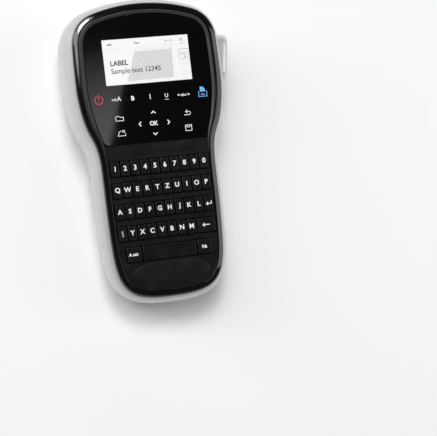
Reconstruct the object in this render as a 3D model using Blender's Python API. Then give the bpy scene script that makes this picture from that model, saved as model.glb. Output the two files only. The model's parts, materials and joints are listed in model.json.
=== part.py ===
"""Hand-held electronic label maker, lying on its back on a desk.

Everything is modelled in the axes of the front face: x to the right, y towards the head, z out of the
face, with y = 0 where the control panel ends and the keyboard begins, and z = 0 on the keyboard deck.
One empty carries those axes. It leans the face by the slope of the back, so that the back lies flat on
the desk, and it puts the origin of the world at the middle of the footprint. All sizes are in metres.
"""

import math

import bmesh
import bpy
from mathutils import Matrix, Vector
from mathutils.geometry import interpolate_bezier

# Fits
GAP = 0.0003  # between pieces that touch in the real object
RUNNING_GAP = 0.00008  # radial, between a shaft and its hole
SHARP_ANGLE = 35.0  # degrees, edges sharper than this stay crisp

# Front face
HEAD_WIDTH = 0.1032
HEAD_LENGTH = 0.0966
KEYBOARD_MARGIN = 0.0056
KEYBOARD_GAP = 0.0110
BOTTOM_LIP = 0.0260
TOP_SAG = 0.0058
SHOULDER_DROP = 0.0260
SHOULDER_INSET = 0.0006
WIDEST_DROP = 0.0540
NECK_Y = 0.0083
GRIP_Y = -0.0200
GRIP_TAPER = 0.0010
HEEL_RISE = 0.0344
DECK_THICKNESS = 0.0022
SEAM_DEPTH = 0.0020
LIP_DEPTH = 0.0042
LIP_WIDTH = 0.0012
LIP_CLEARANCE = 0.0004
LIP_STUB = 0.0001
RIM_HEIGHT = 0.0016
RIM_WIDTH = 0.0042
BEVEL_WIDTH_HEAD = 0.0029
BEVEL_WIDTH_GRIP = 0.0004
BEVEL_FADE_LOW = -0.0120
BEVEL_FADE_HIGH = 0.0220
RIM_CROWN = (  # share of the rim's width inside the edge, share of its height
    (0.00, 0.13),
    (0.12, 0.42),
    (0.38, 0.72),
    (0.82, 1.00),
    (0.93, 0.85),
    (1.00, 0.35),
)

# Rear shell
HEAD_DEPTH = 0.058
HEEL_DEPTH = 0.036
WALL = 0.0020
SEAM_LEDGE = 0.0006
TRAY_THICKNESS = 0.0018
TRAY_UNDER_BOARD = 0.0014
TRAY_RIB = 0.0016
TRAY_RIB_DROP = 0.0060
DOOR_CUT_MARGIN = 0.010
FINGER_RELIEF = 0.0070
RELIEF_HEAD_END = 0.002
RELIEF_HEEL_END = -0.086
SHELL_PROFILE = (  # share of the depth, distance outside the front cover's edge
    (0.00, 0.0006),
    (0.05, 0.0026),
    (0.13, 0.0040),
    (0.26, 0.0046),
    (0.50, 0.0042),
    (0.70, 0.0028),
    (0.85, 0.0006),
    (0.94, -0.0028),
    (1.00, -0.0088),
)

# Control panel and display
PANEL_THICKNESS = 0.0013
PANEL_PROUD = 0.0003
PANEL_BOTTOM = 0.0005
PANEL_CORNER = 0.0040
DISPLAY_WIDTH = 0.0614
DISPLAY_HEIGHT = 0.0314
DISPLAY_FROM_TOP = 0.0239
DISPLAY_LEDGE = 0.0008
PANE_CORNER = 0.0004
MODULE_MARGIN = 0.0045
MODULE_THICKNESS = 0.0036
MODULE_DEPTH = 0.0030
MODULE_CORNER = 0.0010

# Keyboard
KEY_PITCH_X = 0.00705
KEY_PITCH_Y = 0.0148
KEY_GAP = 0.00095
KEY_ROW_GAP = 0.0046
KEY_PROUD = 0.0018
KEY_CORNER = 0.0007
KEY_CHAMFER = 0.0006
KEY_WALL = 0.0009
KEY_TRAVEL = 0.0010
KEY_SKIRT = 0.0036
KEY_ROOF = 0.0014
DOME_SIDE_GAP = 0.0009
DOME_END_GAP = 0.0012
SIDE_KEY_WIDTH = 0.0101
SPACE_BAR_WIDTH = 0.0384
MAT_THICKNESS = 0.0014
MAT_MARGIN = 0.0016
MAT_CORNER = 0.0020
BOARD_THICKNESS = 0.0016
BOARD_INSET = 0.0070

# Label mechanism
CASSETTE_WIDTH = 0.062
CASSETTE_LENGTH = 0.048
CASSETTE_THICKNESS = 0.0170
CASSETTE_FROM_TOP = 0.0306
CASSETTE_CLEARANCE = 0.0010
CASSETTE_SIDE_GAP = 0.0009
CASSETTE_CORNER = 0.0050
BAY_PLATE = 0.0020
BAY_WALL = 0.0018
BAY_WALL_SHORT = 0.0030
BAY_FROM_TOP = 0.0120
BAY_CORNER = 0.0120
MOTOR_CLAMP_SHARE = 0.6
DOOR_FROM_TOP = 0.0146
DOOR_SIDE_MARGIN = 0.0050
DOOR_END_MARGIN = 0.0060
ROLLER_RADIUS = 0.0055
ROLLER_FROM_TOP = 0.0200
ROLLER_LENGTH = 0.0170
TAPE_SPACE = 0.0010
SHAFT_RADIUS = 0.0015
GEAR_MODULE = 0.0008
ROLLER_TEETH = 24
PINION_TEETH = 10
GEAR_WIDTH = 0.0022
GEAR_PRESSURE_ANGLE = 20.0  # degrees
GEAR_ADDENDUM = 0.9  # in modules, a little short so that a tooth clears the other gear's root
GEAR_DEDENDUM = 1.25  # in modules
GEAR_BACKLASH = 0.00016
MOTOR_RADIUS = 0.0100
MOTOR_CHAMFER = 0.0010
MOTOR_HEADROOM = 0.0051
MOTOR_ANGLE = 200.0  # degrees, the direction of the motor as seen from the roller
HEAD_BLOCK = (0.0044, 0.0100, 0.0150)
EXIT_WIDTH = 0.0054
EXIT_LENGTH = 0.0170
EXIT_CUT_REACH = 0.0080

# Cutter
CUTTER_TRAVEL = 0.0045
BUTTON_LENGTH = 0.0340
BUTTON_HEIGHT = 0.0170
BUTTON_ROUND_SHARE = 0.46  # of the height, the radius of the rounded ends
BUTTON_PROUD = 0.0084
BUTTON_FALL = 0.0046  # how much less the grip end of the button stands out
BUTTON_DEEP = 0.0070
BUTTON_FROM_TOP = 0.0406
BUTTON_DEPTH = 0.0175
BLADE_THICKNESS = 0.0010
BLADE_FROM_TOP = 0.0096
BLADE_REACH = 0.0190
ARM_THICKNESS = 0.0036
ARM_WIDTH = 0.0080
ARM_HEIGHT = 0.0060
ARM_UNDER_PLATE = 0.0008
ARM_CROSS_OFFSET = 0.0180
ARM_BEAM = 0.0030
ARM_RISE_INSET = 0.0158
ARM_OVERLAP = 0.00003
BUTTON_OPENING_REACH = 0.0120
BUTTON_SOFTENING = 0.0022
BLADE_CLEARANCE = 0.0030

# Power
BATTERY_SIZE = (0.050, 0.056, 0.0130)
BATTERY_FROM_BOTTOM = 0.0190
BATTERY_CORNER = 0.0030
BATTERY_DOOR_SIDE_MARGIN = 0.0040
BATTERY_DOOR_END_MARGIN = 0.0114
BATTERY_DOOR_DEPTH = 0.016

# Worked out from the sizes above
FLARE = max(far for _, far in SHELL_PROFILE)
KEY_WIDTH = KEY_PITCH_X - KEY_GAP
KEY_LENGTH = KEY_PITCH_Y - KEY_ROW_GAP
KEY_COLUMNS = 10
KEY_ROWS = 5
KEYBOARD_WIDTH = (KEY_COLUMNS - 1) * KEY_PITCH_X + KEY_WIDTH
KEYBOARD_LENGTH = (KEY_ROWS - 1) * KEY_PITCH_Y + KEY_LENGTH
GRIP_WIDTH = KEYBOARD_WIDTH + 2 * KEYBOARD_MARGIN
TOP = HEAD_LENGTH
BOTTOM = -(KEYBOARD_GAP + KEYBOARD_LENGTH + BOTTOM_LIP)
SLOPE = (HEAD_DEPTH - HEEL_DEPTH) / (TOP - BOTTOM)
TILT = math.atan(SLOPE)
DISPLAY_Y = TOP - DISPLAY_FROM_TOP - DISPLAY_HEIGHT / 2
MAT_TOP = -(KEY_SKIRT + KEY_TRAVEL + GAP)
MODULE_BOTTOM = -(MODULE_DEPTH + MODULE_THICKNESS)
BOARD_TOP = min(MAT_TOP - MAT_THICKNESS - 2 * GAP, MODULE_BOTTOM - GAP)
BOARD_BOTTOM = BOARD_TOP - BOARD_THICKNESS
TRAY_TOP = BOARD_BOTTOM - TRAY_UNDER_BOARD
TRAY_BOTTOM = TRAY_TOP - TRAY_THICKNESS
BATTERY_TOP = TRAY_BOTTOM - GAP
BATTERY_DOOR_TOP = BOTTOM + BATTERY_FROM_BOTTOM + BATTERY_SIZE[1] + BATTERY_DOOR_END_MARGIN
BATTERY_DOOR_WIDTH = BATTERY_SIZE[0] + 2 * BATTERY_DOOR_SIDE_MARGIN
DOOR_WIDTH = CASSETTE_WIDTH + 2 * DOOR_SIDE_MARGIN
DOOR_LENGTH = CASSETTE_FROM_TOP - DOOR_FROM_TOP + CASSETTE_LENGTH + DOOR_END_MARGIN
LIP_EDGE = -(SEAM_LEDGE + WALL + LIP_CLEARANCE)

KEY_NAMES = (
    ("1", "2", "3", "4", "5", "6", "7", "8", "9", "0"),
    ("q", "w", "e", "r", "t", "z", "u", "i", "o", "p"),
    ("a", "s", "d", "f", "g", "h", "j", "k", "l", "enter"),
    ("caps", "y", "x", "c", "v", "b", "n", "m", "delete"),
    ("accent", "space", "symbols"),
)


# ---------------------------------------------------------------- shapes of the case


def smooth_step(low, high, value):
    share = min(1.0, max(0.0, (value - low) / (high - low)))
    return share * share * (3 - 2 * share)


def half_outline():
    """The right half of the front cover's edge, from the middle of the top to the middle of the bottom."""
    head, grip = HEAD_WIDTH / 2, GRIP_WIDTH / 2
    neck = (head + grip) / 2 - SHOULDER_INSET
    shoulder = head - SHOULDER_INSET
    heel = grip - GRIP_TAPER
    knots = (  # point, direction, handle before, handle after, pieces up to the next knot
        (Vector((0, TOP)), Vector((1, 0)), 0, 0.24 * head, 5),
        (Vector((0.70 * head, TOP - TOP_SAG)), Vector((0.945, -0.326)), 0.24 * head, 0.0085, 6),
        (Vector((shoulder, TOP - SHOULDER_DROP)), Vector((0.06, -1)), 0.0105, 0.009, 3),
        (Vector((head, TOP - WIDEST_DROP)), Vector((0, -1)), 0.009, 0.012, 4),
        (Vector((neck, NECK_Y)), Vector((-0.42, -0.91)), 0.009, 0.010, 5),
        (Vector((grip, GRIP_Y)), Vector((-0.01, -1)), 0.013, 0.018, 3),
        (Vector((heel, BOTTOM + HEEL_RISE)), Vector((-0.06, -1)), 0.018, 0.030, 9),
        (Vector((0, BOTTOM)), Vector((-1, 0)), 0.70 * grip, 0, 0),
    )
    points = []
    for (start, way, _, reach, pieces), (end, way_in, back, _, _) in zip(knots, knots[1:]):
        handle = start + way.normalized() * reach
        handle_in = end - way_in.normalized() * back
        points += interpolate_bezier(start, handle, handle_in, end, pieces + 1)[:-1]
    return [Vector((p.x, p.y)) for p in points] + [Vector((0, BOTTOM))]


HALF_OUTLINE = half_outline()


def outline(distance):
    """The whole edge, clockwise from the top, moved out by a distance that may depend on y.

    Point i on the right and point -i on the left are at the same y.
    """
    half = []
    last = len(HALF_OUTLINE) - 1
    for i, point in enumerate(HALF_OUTLINE):
        before = HALF_OUTLINE[max(i - 1, 0)]
        after = HALF_OUTLINE[min(i + 1, last)]
        along = (after - before).normalized()
        out = Vector((-along.y, along.x))
        if i in (0, last):
            out = Vector((0, 1 if i == 0 else -1))
        far = distance(point.y) if callable(distance) else distance
        half.append(point + out * far)
    return half + [Vector((-p.x, p.y)) for p in reversed(half[1:-1])]


def deck_inset(y):
    """How far the flat deck starts inside the edge: the bevel round the panel fades out beside the keys."""
    fade = smooth_step(BEVEL_FADE_LOW, BEVEL_FADE_HIGH, y)
    bevel = BEVEL_WIDTH_GRIP + (BEVEL_WIDTH_HEAD - BEVEL_WIDTH_GRIP) * fade
    return -(RIM_WIDTH + bevel)


def back_plane(y):
    """Depth under the face of the plane that the back rests on."""
    return HEEL_DEPTH + (y - BOTTOM) * SLOPE


def back_depth(y):
    """Depth of the back, with the hollow that the fingers take between the head and the heel."""
    share = (y - RELIEF_HEEL_END) / (RELIEF_HEAD_END - RELIEF_HEEL_END)
    if not 0 < share < 1:
        return back_plane(y)
    return back_plane(y) - FINGER_RELIEF * 0.5 * (1 - math.cos(2 * math.pi * share))


def panel_outline(grow):
    """The control panel: the deck's edge in the head, closed by a straight bottom with round corners."""
    cut = PANEL_BOTTOM - grow
    loop = outline(lambda y: deck_inset(y) - PANEL_PROUD + grow)
    half = loop[: len(loop) // 2]
    above = [p for p in half if p.y > cut + PANEL_CORNER]
    below = half[len(above)]
    along = (below - above[-1]).normalized()
    start = above[-1] + along * ((cut + PANEL_CORNER - above[-1].y) / along.y)
    corner = start + along * (PANEL_CORNER / -along.y)
    end = corner - Vector((PANEL_CORNER, 0))
    turn = [start.lerp(corner, k / 4).lerp(corner.lerp(end, k / 4), k / 4) for k in range(5)]
    right = above + turn
    return right + [Vector((-p.x, p.y)) for p in reversed(right[1:])]


# ---------------------------------------------------------------- mesh tools


def level(loop, z):
    """A loop of plan points lifted to one height, or to a height that depends on y."""
    return [Vector((p[0], p[1], z(p[1]) if callable(z) else z)) for p in loop]


def skin(rings, strips=False):
    """A closed body through rings of equally many points. Strips closes the ends across x, for bent ends."""
    bm = bmesh.new()
    rows = [[bm.verts.new(p) for p in ring] for ring in rings]
    count = len(rows[0])
    for low, high in zip(rows, rows[1:]):
        for i in range(count):
            j = (i + 1) % count
            bm.faces.new((low[i], low[j], high[j], high[i]))
    for row in (rows[0], rows[-1]):
        if strips:
            half = count // 2
            for i in range(half):
                corners = (row[i], row[i + 1], row[-i - 1], row[-i])
                bm.faces.new(dict.fromkeys(corners))
        else:
            bm.faces.new(row)
    bmesh.ops.recalc_face_normals(bm, faces=bm.faces)
    return bm


def rounded_rectangle(width, length, radius, steps=1, centre=(0, 0)):
    corners = ((1, 1, 0), (-1, 1, 90), (-1, -1, 180), (1, -1, 270))
    points = []
    for sign_x, sign_y, start in corners:
        middle_x = centre[0] + sign_x * (width / 2 - radius)
        middle_y = centre[1] + sign_y * (length / 2 - radius)
        for k in range(steps + 1):
            angle = math.radians(start + 90 * k / steps)
            points.append(
                Vector((middle_x + radius * math.cos(angle), middle_y + radius * math.sin(angle)))
            )
    return points


def circle(radius, count, centre=(0, 0)):
    turn = 2 * math.pi / count
    return [
        Vector((centre[0] + radius * math.cos(turn * k), centre[1] + radius * math.sin(turn * k)))
        for k in range(count)
    ]


def half_ring(centre, inner, outer, towards, steps=10):
    """Half of a flat ring, open on the side that faces away from the given direction in degrees."""
    angles = [math.radians(towards - 90 + 180 * k / steps) for k in range(steps + 1)]
    points = [(inner, a) for a in angles] + [(outer, a) for a in reversed(angles)]
    return [
        Vector((centre[0] + radius * math.cos(a), centre[1] + radius * math.sin(a)))
        for radius, a in points
    ]


def slab(loop, low, high):
    """A flat plate with the given plan between two heights."""
    return skin([level(loop, low), level(loop, high)])


def block(low, high):
    """A box between two corners."""
    size = Vector(high) - Vector(low)
    middle = (Vector(high) + Vector(low)) / 2
    bm = bmesh.new()
    bmesh.ops.create_cube(bm, size=1, matrix=Matrix.Translation(middle) @ Matrix.Diagonal((*size, 1)))
    return bm


def turned(steps, count):
    """A turned piece on z: its outline is a list of (radius, z) from one end to the other."""
    return skin([level(circle(radius, count), z) for radius, z in steps])


def gear_outline(teeth, turn):
    """A gear with involute flanks, thinned a little so that a pair runs free."""
    pressure = math.radians(GEAR_PRESSURE_ANGLE)
    pitch = GEAR_MODULE * teeth / 2
    base = pitch * math.cos(pressure)
    tip = pitch + GEAR_ADDENDUM * GEAR_MODULE
    root = pitch - GEAR_DEDENDUM * GEAR_MODULE
    slack = GEAR_BACKLASH / pitch
    half_tooth = math.pi / (2 * teeth) - slack / 2 + math.tan(pressure) - pressure
    flank = []
    for k in range(4):
        radius = max(base, root) + (tip - max(base, root)) * k / 3
        open_angle = math.sqrt(max(0.0, (radius / base) ** 2 - 1))
        flank.append((radius, half_tooth - (open_angle - math.atan(open_angle))))
    if root < base:
        flank.insert(0, (root, flank[0][1]))
    points = []
    for tooth in range(teeth):
        middle = turn + 2 * math.pi * tooth / teeth
        side = [(r, middle - a) for r, a in flank] + [(r, middle + a) for r, a in reversed(flank)]
        points += [Vector((r * math.cos(a), r * math.sin(a))) for r, a in side]
    return points


# ---------------------------------------------------------------- objects


def clear_scene():
    for obj in list(bpy.data.objects):
        bpy.data.objects.remove(obj, do_unlink=True)


def material(name, colour, roughness, metallic=0.0):
    made = bpy.data.materials.new(name)
    made.use_nodes = True
    shader = made.node_tree.nodes["Principled BSDF"]
    shader.inputs["Base Color"].default_value = (*colour, 1)
    shader.inputs["Roughness"].default_value = roughness
    shader.inputs["Metallic"].default_value = metallic
    return made


def add(name, bm, finish, parent, place=(0, 0, 0), lean=0.0, smooth=False):
    """An object from a mesh whose points are given from its own origin."""
    mesh = bpy.data.meshes.new(name)
    bm.to_mesh(mesh)
    bm.free()
    if smooth:
        mesh.shade_smooth()
        mesh.set_sharp_from_angle(angle=math.radians(SHARP_ANGLE))
    if finish:
        mesh.materials.append(finish)
    obj = bpy.data.objects.new(name, mesh)
    bpy.context.scene.collection.objects.link(obj)
    obj.parent = parent
    obj.location = place
    obj.rotation_euler = (lean, 0, 0)
    return obj


def combine(obj, other_bm, operation, name):
    """A Boolean with a helper that stays out of the render."""
    helper = add(name, other_bm, None, obj.parent)
    helper.hide_render = True
    helper.display_type = "WIRE"
    boolean = obj.modifiers.new(name, "BOOLEAN")
    boolean.operation = operation
    boolean.solver = "EXACT"
    boolean.object = helper
    return helper


def moved(bm, offset):
    bmesh.ops.translate(bm, verts=bm.verts, vec=Vector(offset))
    return bm


# ---------------------------------------------------------------- front


def key_rows():
    """Each row of keys as (name, middle of the key, width), from the top row down."""
    first = -(KEYBOARD_GAP + KEY_LENGTH / 2)
    left = -(KEY_COLUMNS - 1) / 2 * KEY_PITCH_X
    wide = 2 * KEY_WIDTH + KEY_GAP
    side = (SPACE_BAR_WIDTH + SIDE_KEY_WIDTH) / 2 + KEY_GAP
    for row, names in enumerate(KEY_NAMES):
        y = first - row * KEY_PITCH_Y
        if len(names) == KEY_COLUMNS:
            yield [(n, left + c * KEY_PITCH_X, y, KEY_WIDTH) for c, n in enumerate(names)]
        elif len(names) == KEY_COLUMNS - 1:
            keys = [(n, left + c * KEY_PITCH_X, y, KEY_WIDTH) for c, n in enumerate(names[:-1])]
            yield keys + [(names[-1], left + (KEY_COLUMNS - 1.5) * KEY_PITCH_X, y, wide)]
        else:
            widths = (SIDE_KEY_WIDTH, SPACE_BAR_WIDTH, SIDE_KEY_WIDTH)
            yield list(zip(names, (-side, 0, side), (y,) * 3, widths))


def make_front_cover(axes, finish):
    rim = [  # distance outside the edge, height
        (LIP_EDGE - LIP_WIDTH, -DECK_THICKNESS),
        (LIP_EDGE - LIP_WIDTH, -LIP_DEPTH),
        (LIP_EDGE, -LIP_DEPTH),
        (LIP_EDGE, -SEAM_DEPTH),
        (0, -SEAM_DEPTH),
    ]
    rim += [(-RIM_WIDTH * inside, RIM_HEIGHT * up) for inside, up in RIM_CROWN]
    rings = [level(outline(far), z) for far, z in rim]
    rings.append(level(outline(deck_inset), 0))
    cover = add("front_cover", skin(rings), finish, axes, smooth=True)

    recess = slab(panel_outline(GAP), -(PANEL_THICKNESS - PANEL_PROUD) - GAP, RIM_HEIGHT * 2)
    combine(cover, recess, "DIFFERENCE", "panel_recess")
    half_x = DISPLAY_WIDTH / 2 - DISPLAY_LEDGE
    half_y = DISPLAY_HEIGHT / 2 - DISPLAY_LEDGE
    hole = block(
        (-half_x, DISPLAY_Y - half_y, -2 * DECK_THICKNESS),
        (half_x, DISPLAY_Y + half_y, 2 * DECK_THICKNESS),
    )
    combine(cover, hole, "DIFFERENCE", "display_hole")
    slots = bmesh.new()
    for keys in key_rows():
        _, first_x, y, first_width = keys[0]
        _, last_x, _, last_width = keys[-1]
        low = first_x - first_width / 2 - GAP
        high = last_x + last_width / 2 + GAP
        loop = rounded_rectangle(
            high - low, KEY_LENGTH + 2 * GAP, KEY_CORNER, centre=((low + high) / 2, y)
        )
        piece = slab(loop, -DECK_THICKNESS * 1.5, DECK_THICKNESS)
        mesh = bpy.data.meshes.new("slot")
        piece.to_mesh(mesh)
        piece.free()
        slots.from_mesh(mesh)
        bpy.data.meshes.remove(mesh)
    combine(cover, slots, "DIFFERENCE", "key_slots")
    beside_keys = block(
        (-HEAD_WIDTH, -KEYBOARD_GAP - KEYBOARD_LENGTH - MAT_MARGIN - GAP, -LIP_DEPTH - WALL),
        (HEAD_WIDTH, -KEYBOARD_GAP + MAT_MARGIN + GAP, -DECK_THICKNESS - LIP_STUB),
    )
    combine(cover, beside_keys, "DIFFERENCE", "lip_relief")


def make_panel_and_display(axes, finishes):
    half_x, half_y = DISPLAY_WIDTH / 2, DISPLAY_HEIGHT / 2
    low, high = PANEL_PROUD - PANEL_THICKNESS, PANEL_PROUD
    panel = add(
        "control_panel", slab(panel_outline(0), low, high), finishes["gloss"], axes, smooth=True
    )
    window_hole = block(
        (-half_x - GAP, DISPLAY_Y - half_y - GAP, low - PANEL_THICKNESS),
        (half_x + GAP, DISPLAY_Y + half_y + GAP, high + PANEL_THICKNESS),
    )
    combine(panel, window_hole, "DIFFERENCE", "window_hole")
    pane = rounded_rectangle(DISPLAY_WIDTH, DISPLAY_HEIGHT, PANE_CORNER)
    place = (0, DISPLAY_Y, 0)
    add("display_window", slab(pane, low, high), finishes["window"], axes, place)
    module = rounded_rectangle(
        DISPLAY_WIDTH + 2 * MODULE_MARGIN, DISPLAY_HEIGHT + 2 * MODULE_MARGIN, MODULE_CORNER
    )
    module_bm = slab(module, MODULE_BOTTOM, -MODULE_DEPTH)
    add("display_module", module_bm, finishes["display"], axes, place)


def make_key(name, x, y, width, finish, axes):
    """A hollow cap with a chamfered top, open below for the dome that lifts it."""
    roof = KEY_PROUD - KEY_ROOF
    inner = rounded_rectangle(width - 2 * KEY_WALL, KEY_LENGTH - 2 * KEY_WALL, KEY_CORNER / 2)
    outer = rounded_rectangle(width, KEY_LENGTH, KEY_CORNER)
    top = rounded_rectangle(width - 2 * KEY_CHAMFER, KEY_LENGTH - 2 * KEY_CHAMFER, KEY_CORNER)
    rings = (
        level(inner, roof),
        level(inner, -KEY_SKIRT),
        level(outer, -KEY_SKIRT),
        level(outer, KEY_PROUD - KEY_CHAMFER),
        level(top, KEY_PROUD),
    )
    add("key_" + name, skin(rings), finish, axes, (x, y, 0))


def make_keyboard(axes, finishes):
    first, last = -KEYBOARD_GAP, -KEYBOARD_GAP - KEYBOARD_LENGTH
    plan = rounded_rectangle(
        KEYBOARD_WIDTH + 2 * MAT_MARGIN, first - last + 2 * MAT_MARGIN, MAT_CORNER, 2
    )
    low = MAT_TOP - MAT_THICKNESS
    mat = add(
        "keypad_mat", slab(plan, low, MAT_TOP), finishes["mat"], axes, (0, (first + last) / 2, 0)
    )
    domes = bmesh.new()
    dome_top = KEY_PROUD - KEY_ROOF - KEY_TRAVEL - GAP
    for keys in key_rows():
        for name, x, y, width in keys:
            make_key(name, x, y, width, finishes["key"], axes)
            half_x = width / 2 - KEY_WALL - DOME_SIDE_GAP
            half_y = KEY_LENGTH / 2 - KEY_WALL - DOME_END_GAP
            size = Matrix.Diagonal((2 * half_x, 2 * half_y, dome_top - low - GAP, 1))
            middle = Matrix.Translation((x, y, (dome_top + low + GAP) / 2))
            bmesh.ops.create_cube(domes, size=1, matrix=middle @ size)
    combine(mat, domes, "UNION", "key_domes")


def make_board(axes, finish):
    board = slab(outline(-BOARD_INSET), BOARD_BOTTOM, BOARD_TOP)
    add("main_board", board, finish, axes)


# ---------------------------------------------------------------- rear


def shell_rings():
    """Rings of the rear shell: down the outside from the seam, and down the inside."""
    start = SEAM_DEPTH + GAP

    def height(share, wall):
        return lambda y: -(start + (back_depth(y) - wall - start) * share)

    outside = []
    inside = []
    for share, far in SHELL_PROFILE:
        loop = outline(far)
        outside.append([Vector((p.x, p.y, height(share, 0)(p.y))) for p in loop])
        loop = outline(far - WALL)
        inside.append([Vector((p.x, p.y, height(share, WALL)(p.y))) for p in loop])
    return outside, inside


def rear_shell():
    outside, inside = shell_rings()
    return skin(list(reversed(outside)) + inside, strips=True)


def door_region(grow):
    """The part of the back that is the cassette door, square to the desk."""
    half = DOOR_WIDTH / 2 + grow
    top = TOP - DOOR_FROM_TOP
    low_end, high_end = top - DOOR_LENGTH - grow, top + grow
    deep = back_plane(top) + DOOR_CUT_MARGIN
    shallow = back_plane(top - DOOR_LENGTH) - 3 * WALL
    return block((-half, low_end, -deep), (half, high_end, -shallow))


def tray_outline():
    """The plate over the battery: it ends inside the walls, and a little beyond the battery door."""
    loop = outline(FLARE - WALL / 2)
    end = BATTERY_DOOR_TOP + WALL
    right = [p for p in loop[1 : len(loop) // 2 + 1] if p.y < end]
    corner = Vector((right[0].x, end))
    right.insert(0, corner)
    return right + [Vector((-p.x, p.y)) for p in reversed(right) if p.x > 0]


def battery_region(grow):
    half = BATTERY_DOOR_WIDTH / 2 + grow
    return block(
        (-half, BOTTOM - 2 * DOOR_CUT_MARGIN, -back_plane(0) - DOOR_CUT_MARGIN),
        (half, BATTERY_DOOR_TOP + grow, -BATTERY_DOOR_DEPTH + grow),
    )


def make_rear(axes, finishes):
    cover = add("rear_cover", rear_shell(), finishes["silver"], axes, smooth=True)
    combine(cover, door_region(GAP), "DIFFERENCE", "cassette_opening")
    combine(cover, battery_region(GAP), "DIFFERENCE", "battery_opening")
    exit_z = mechanism()["roller_middle"]
    mouth = block(
        (-EXIT_WIDTH / 2, TOP - EXIT_CUT_REACH, exit_z - EXIT_LENGTH / 2),
        (EXIT_WIDTH / 2, TOP + EXIT_CUT_REACH, exit_z + EXIT_LENGTH / 2),
    )
    combine(cover, mouth, "DIFFERENCE", "label_exit")
    side = HEAD_WIDTH / 2
    hole = button_body(side - BUTTON_OPENING_REACH, side + BUTTON_OPENING_REACH, GAP)
    combine(cover, hole, "DIFFERENCE", "button_opening")
    tray = slab(tray_outline(), TRAY_BOTTOM, TRAY_TOP)
    combine(cover, tray, "UNION", "battery_tray")
    half = BATTERY_SIZE[0] / 2 + GAP
    end = BOTTOM + BATTERY_FROM_BOTTOM
    for name, low, high in (("left", -half - TRAY_RIB, -half), ("right", half, half + TRAY_RIB)):
        rib = block(
            (low, end, TRAY_BOTTOM - TRAY_RIB_DROP),
            (high, end + BATTERY_SIZE[1], TRAY_BOTTOM + TRAY_THICKNESS / 2),
        )
        combine(cover, rib, "UNION", f"battery_rib_{name}")

    hinge_y = TOP - DOOR_FROM_TOP - DOOR_LENGTH
    hinge = Vector((0, hinge_y, -back_plane(hinge_y)))
    door = add(
        "cassette_door", moved(rear_shell(), -hinge), finishes["silver"], axes, hinge, smooth=True
    )
    combine(door, door_region(0), "INTERSECT", "cassette_door_region")
    door = add("battery_door", rear_shell(), finishes["silver"], axes, smooth=True)
    combine(door, battery_region(0), "INTERSECT", "battery_door_region")

    half_x, half_y = BATTERY_SIZE[0] / 2, BATTERY_SIZE[1] / 2
    pack = rounded_rectangle(half_x * 2, half_y * 2, BATTERY_CORNER, 3)
    place = (0, BOTTOM + BATTERY_FROM_BOTTOM + half_y, 0)
    pack_bm = slab(pack, BATTERY_TOP - BATTERY_SIZE[2], BATTERY_TOP)
    add("battery_pack", pack_bm, finishes["battery"], axes, place, smooth=True)


# ---------------------------------------------------------------- label mechanism


def mechanism():
    """Heights and places that the pieces of the mechanism share."""
    cassette_end = TOP - CASSETTE_FROM_TOP - CASSETTE_LENGTH
    cassette_low = -(back_plane(cassette_end) - WALL - CASSETTE_CLEARANCE)
    plate_low = cassette_low + CASSETTE_THICKNESS + GAP
    plate_high = plate_low + BAY_PLATE
    roller_low = plate_low - GAP - ROLLER_LENGTH
    gear_low = plate_high + GAP
    roller = Vector((TAPE_SPACE / 2 + ROLLER_RADIUS, TOP - ROLLER_FROM_TOP))
    apart = GEAR_MODULE * (ROLLER_TEETH + PINION_TEETH) / 2
    angle = math.radians(MOTOR_ANGLE)
    motor = roller + apart * Vector((math.cos(angle), math.sin(angle)))
    motor_low = gear_low + GEAR_WIDTH + 2 * GAP
    motor_high = BOARD_BOTTOM - MOTOR_HEADROOM
    return {
        "motor_low": motor_low,
        "motor_high": motor_high,
        "motor_length": motor_high - motor_low,
        "cassette_low": cassette_low,
        "plate_low": plate_low,
        "plate_high": plate_high,
        "roller_low": roller_low,
        "roller_high": plate_low - GAP,
        "roller_middle": roller_low + ROLLER_LENGTH / 2,
        "gear_low": gear_low,
        "gear_high": gear_low + GEAR_WIDTH,
        "roller": roller,
        "motor": motor,
    }


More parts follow.
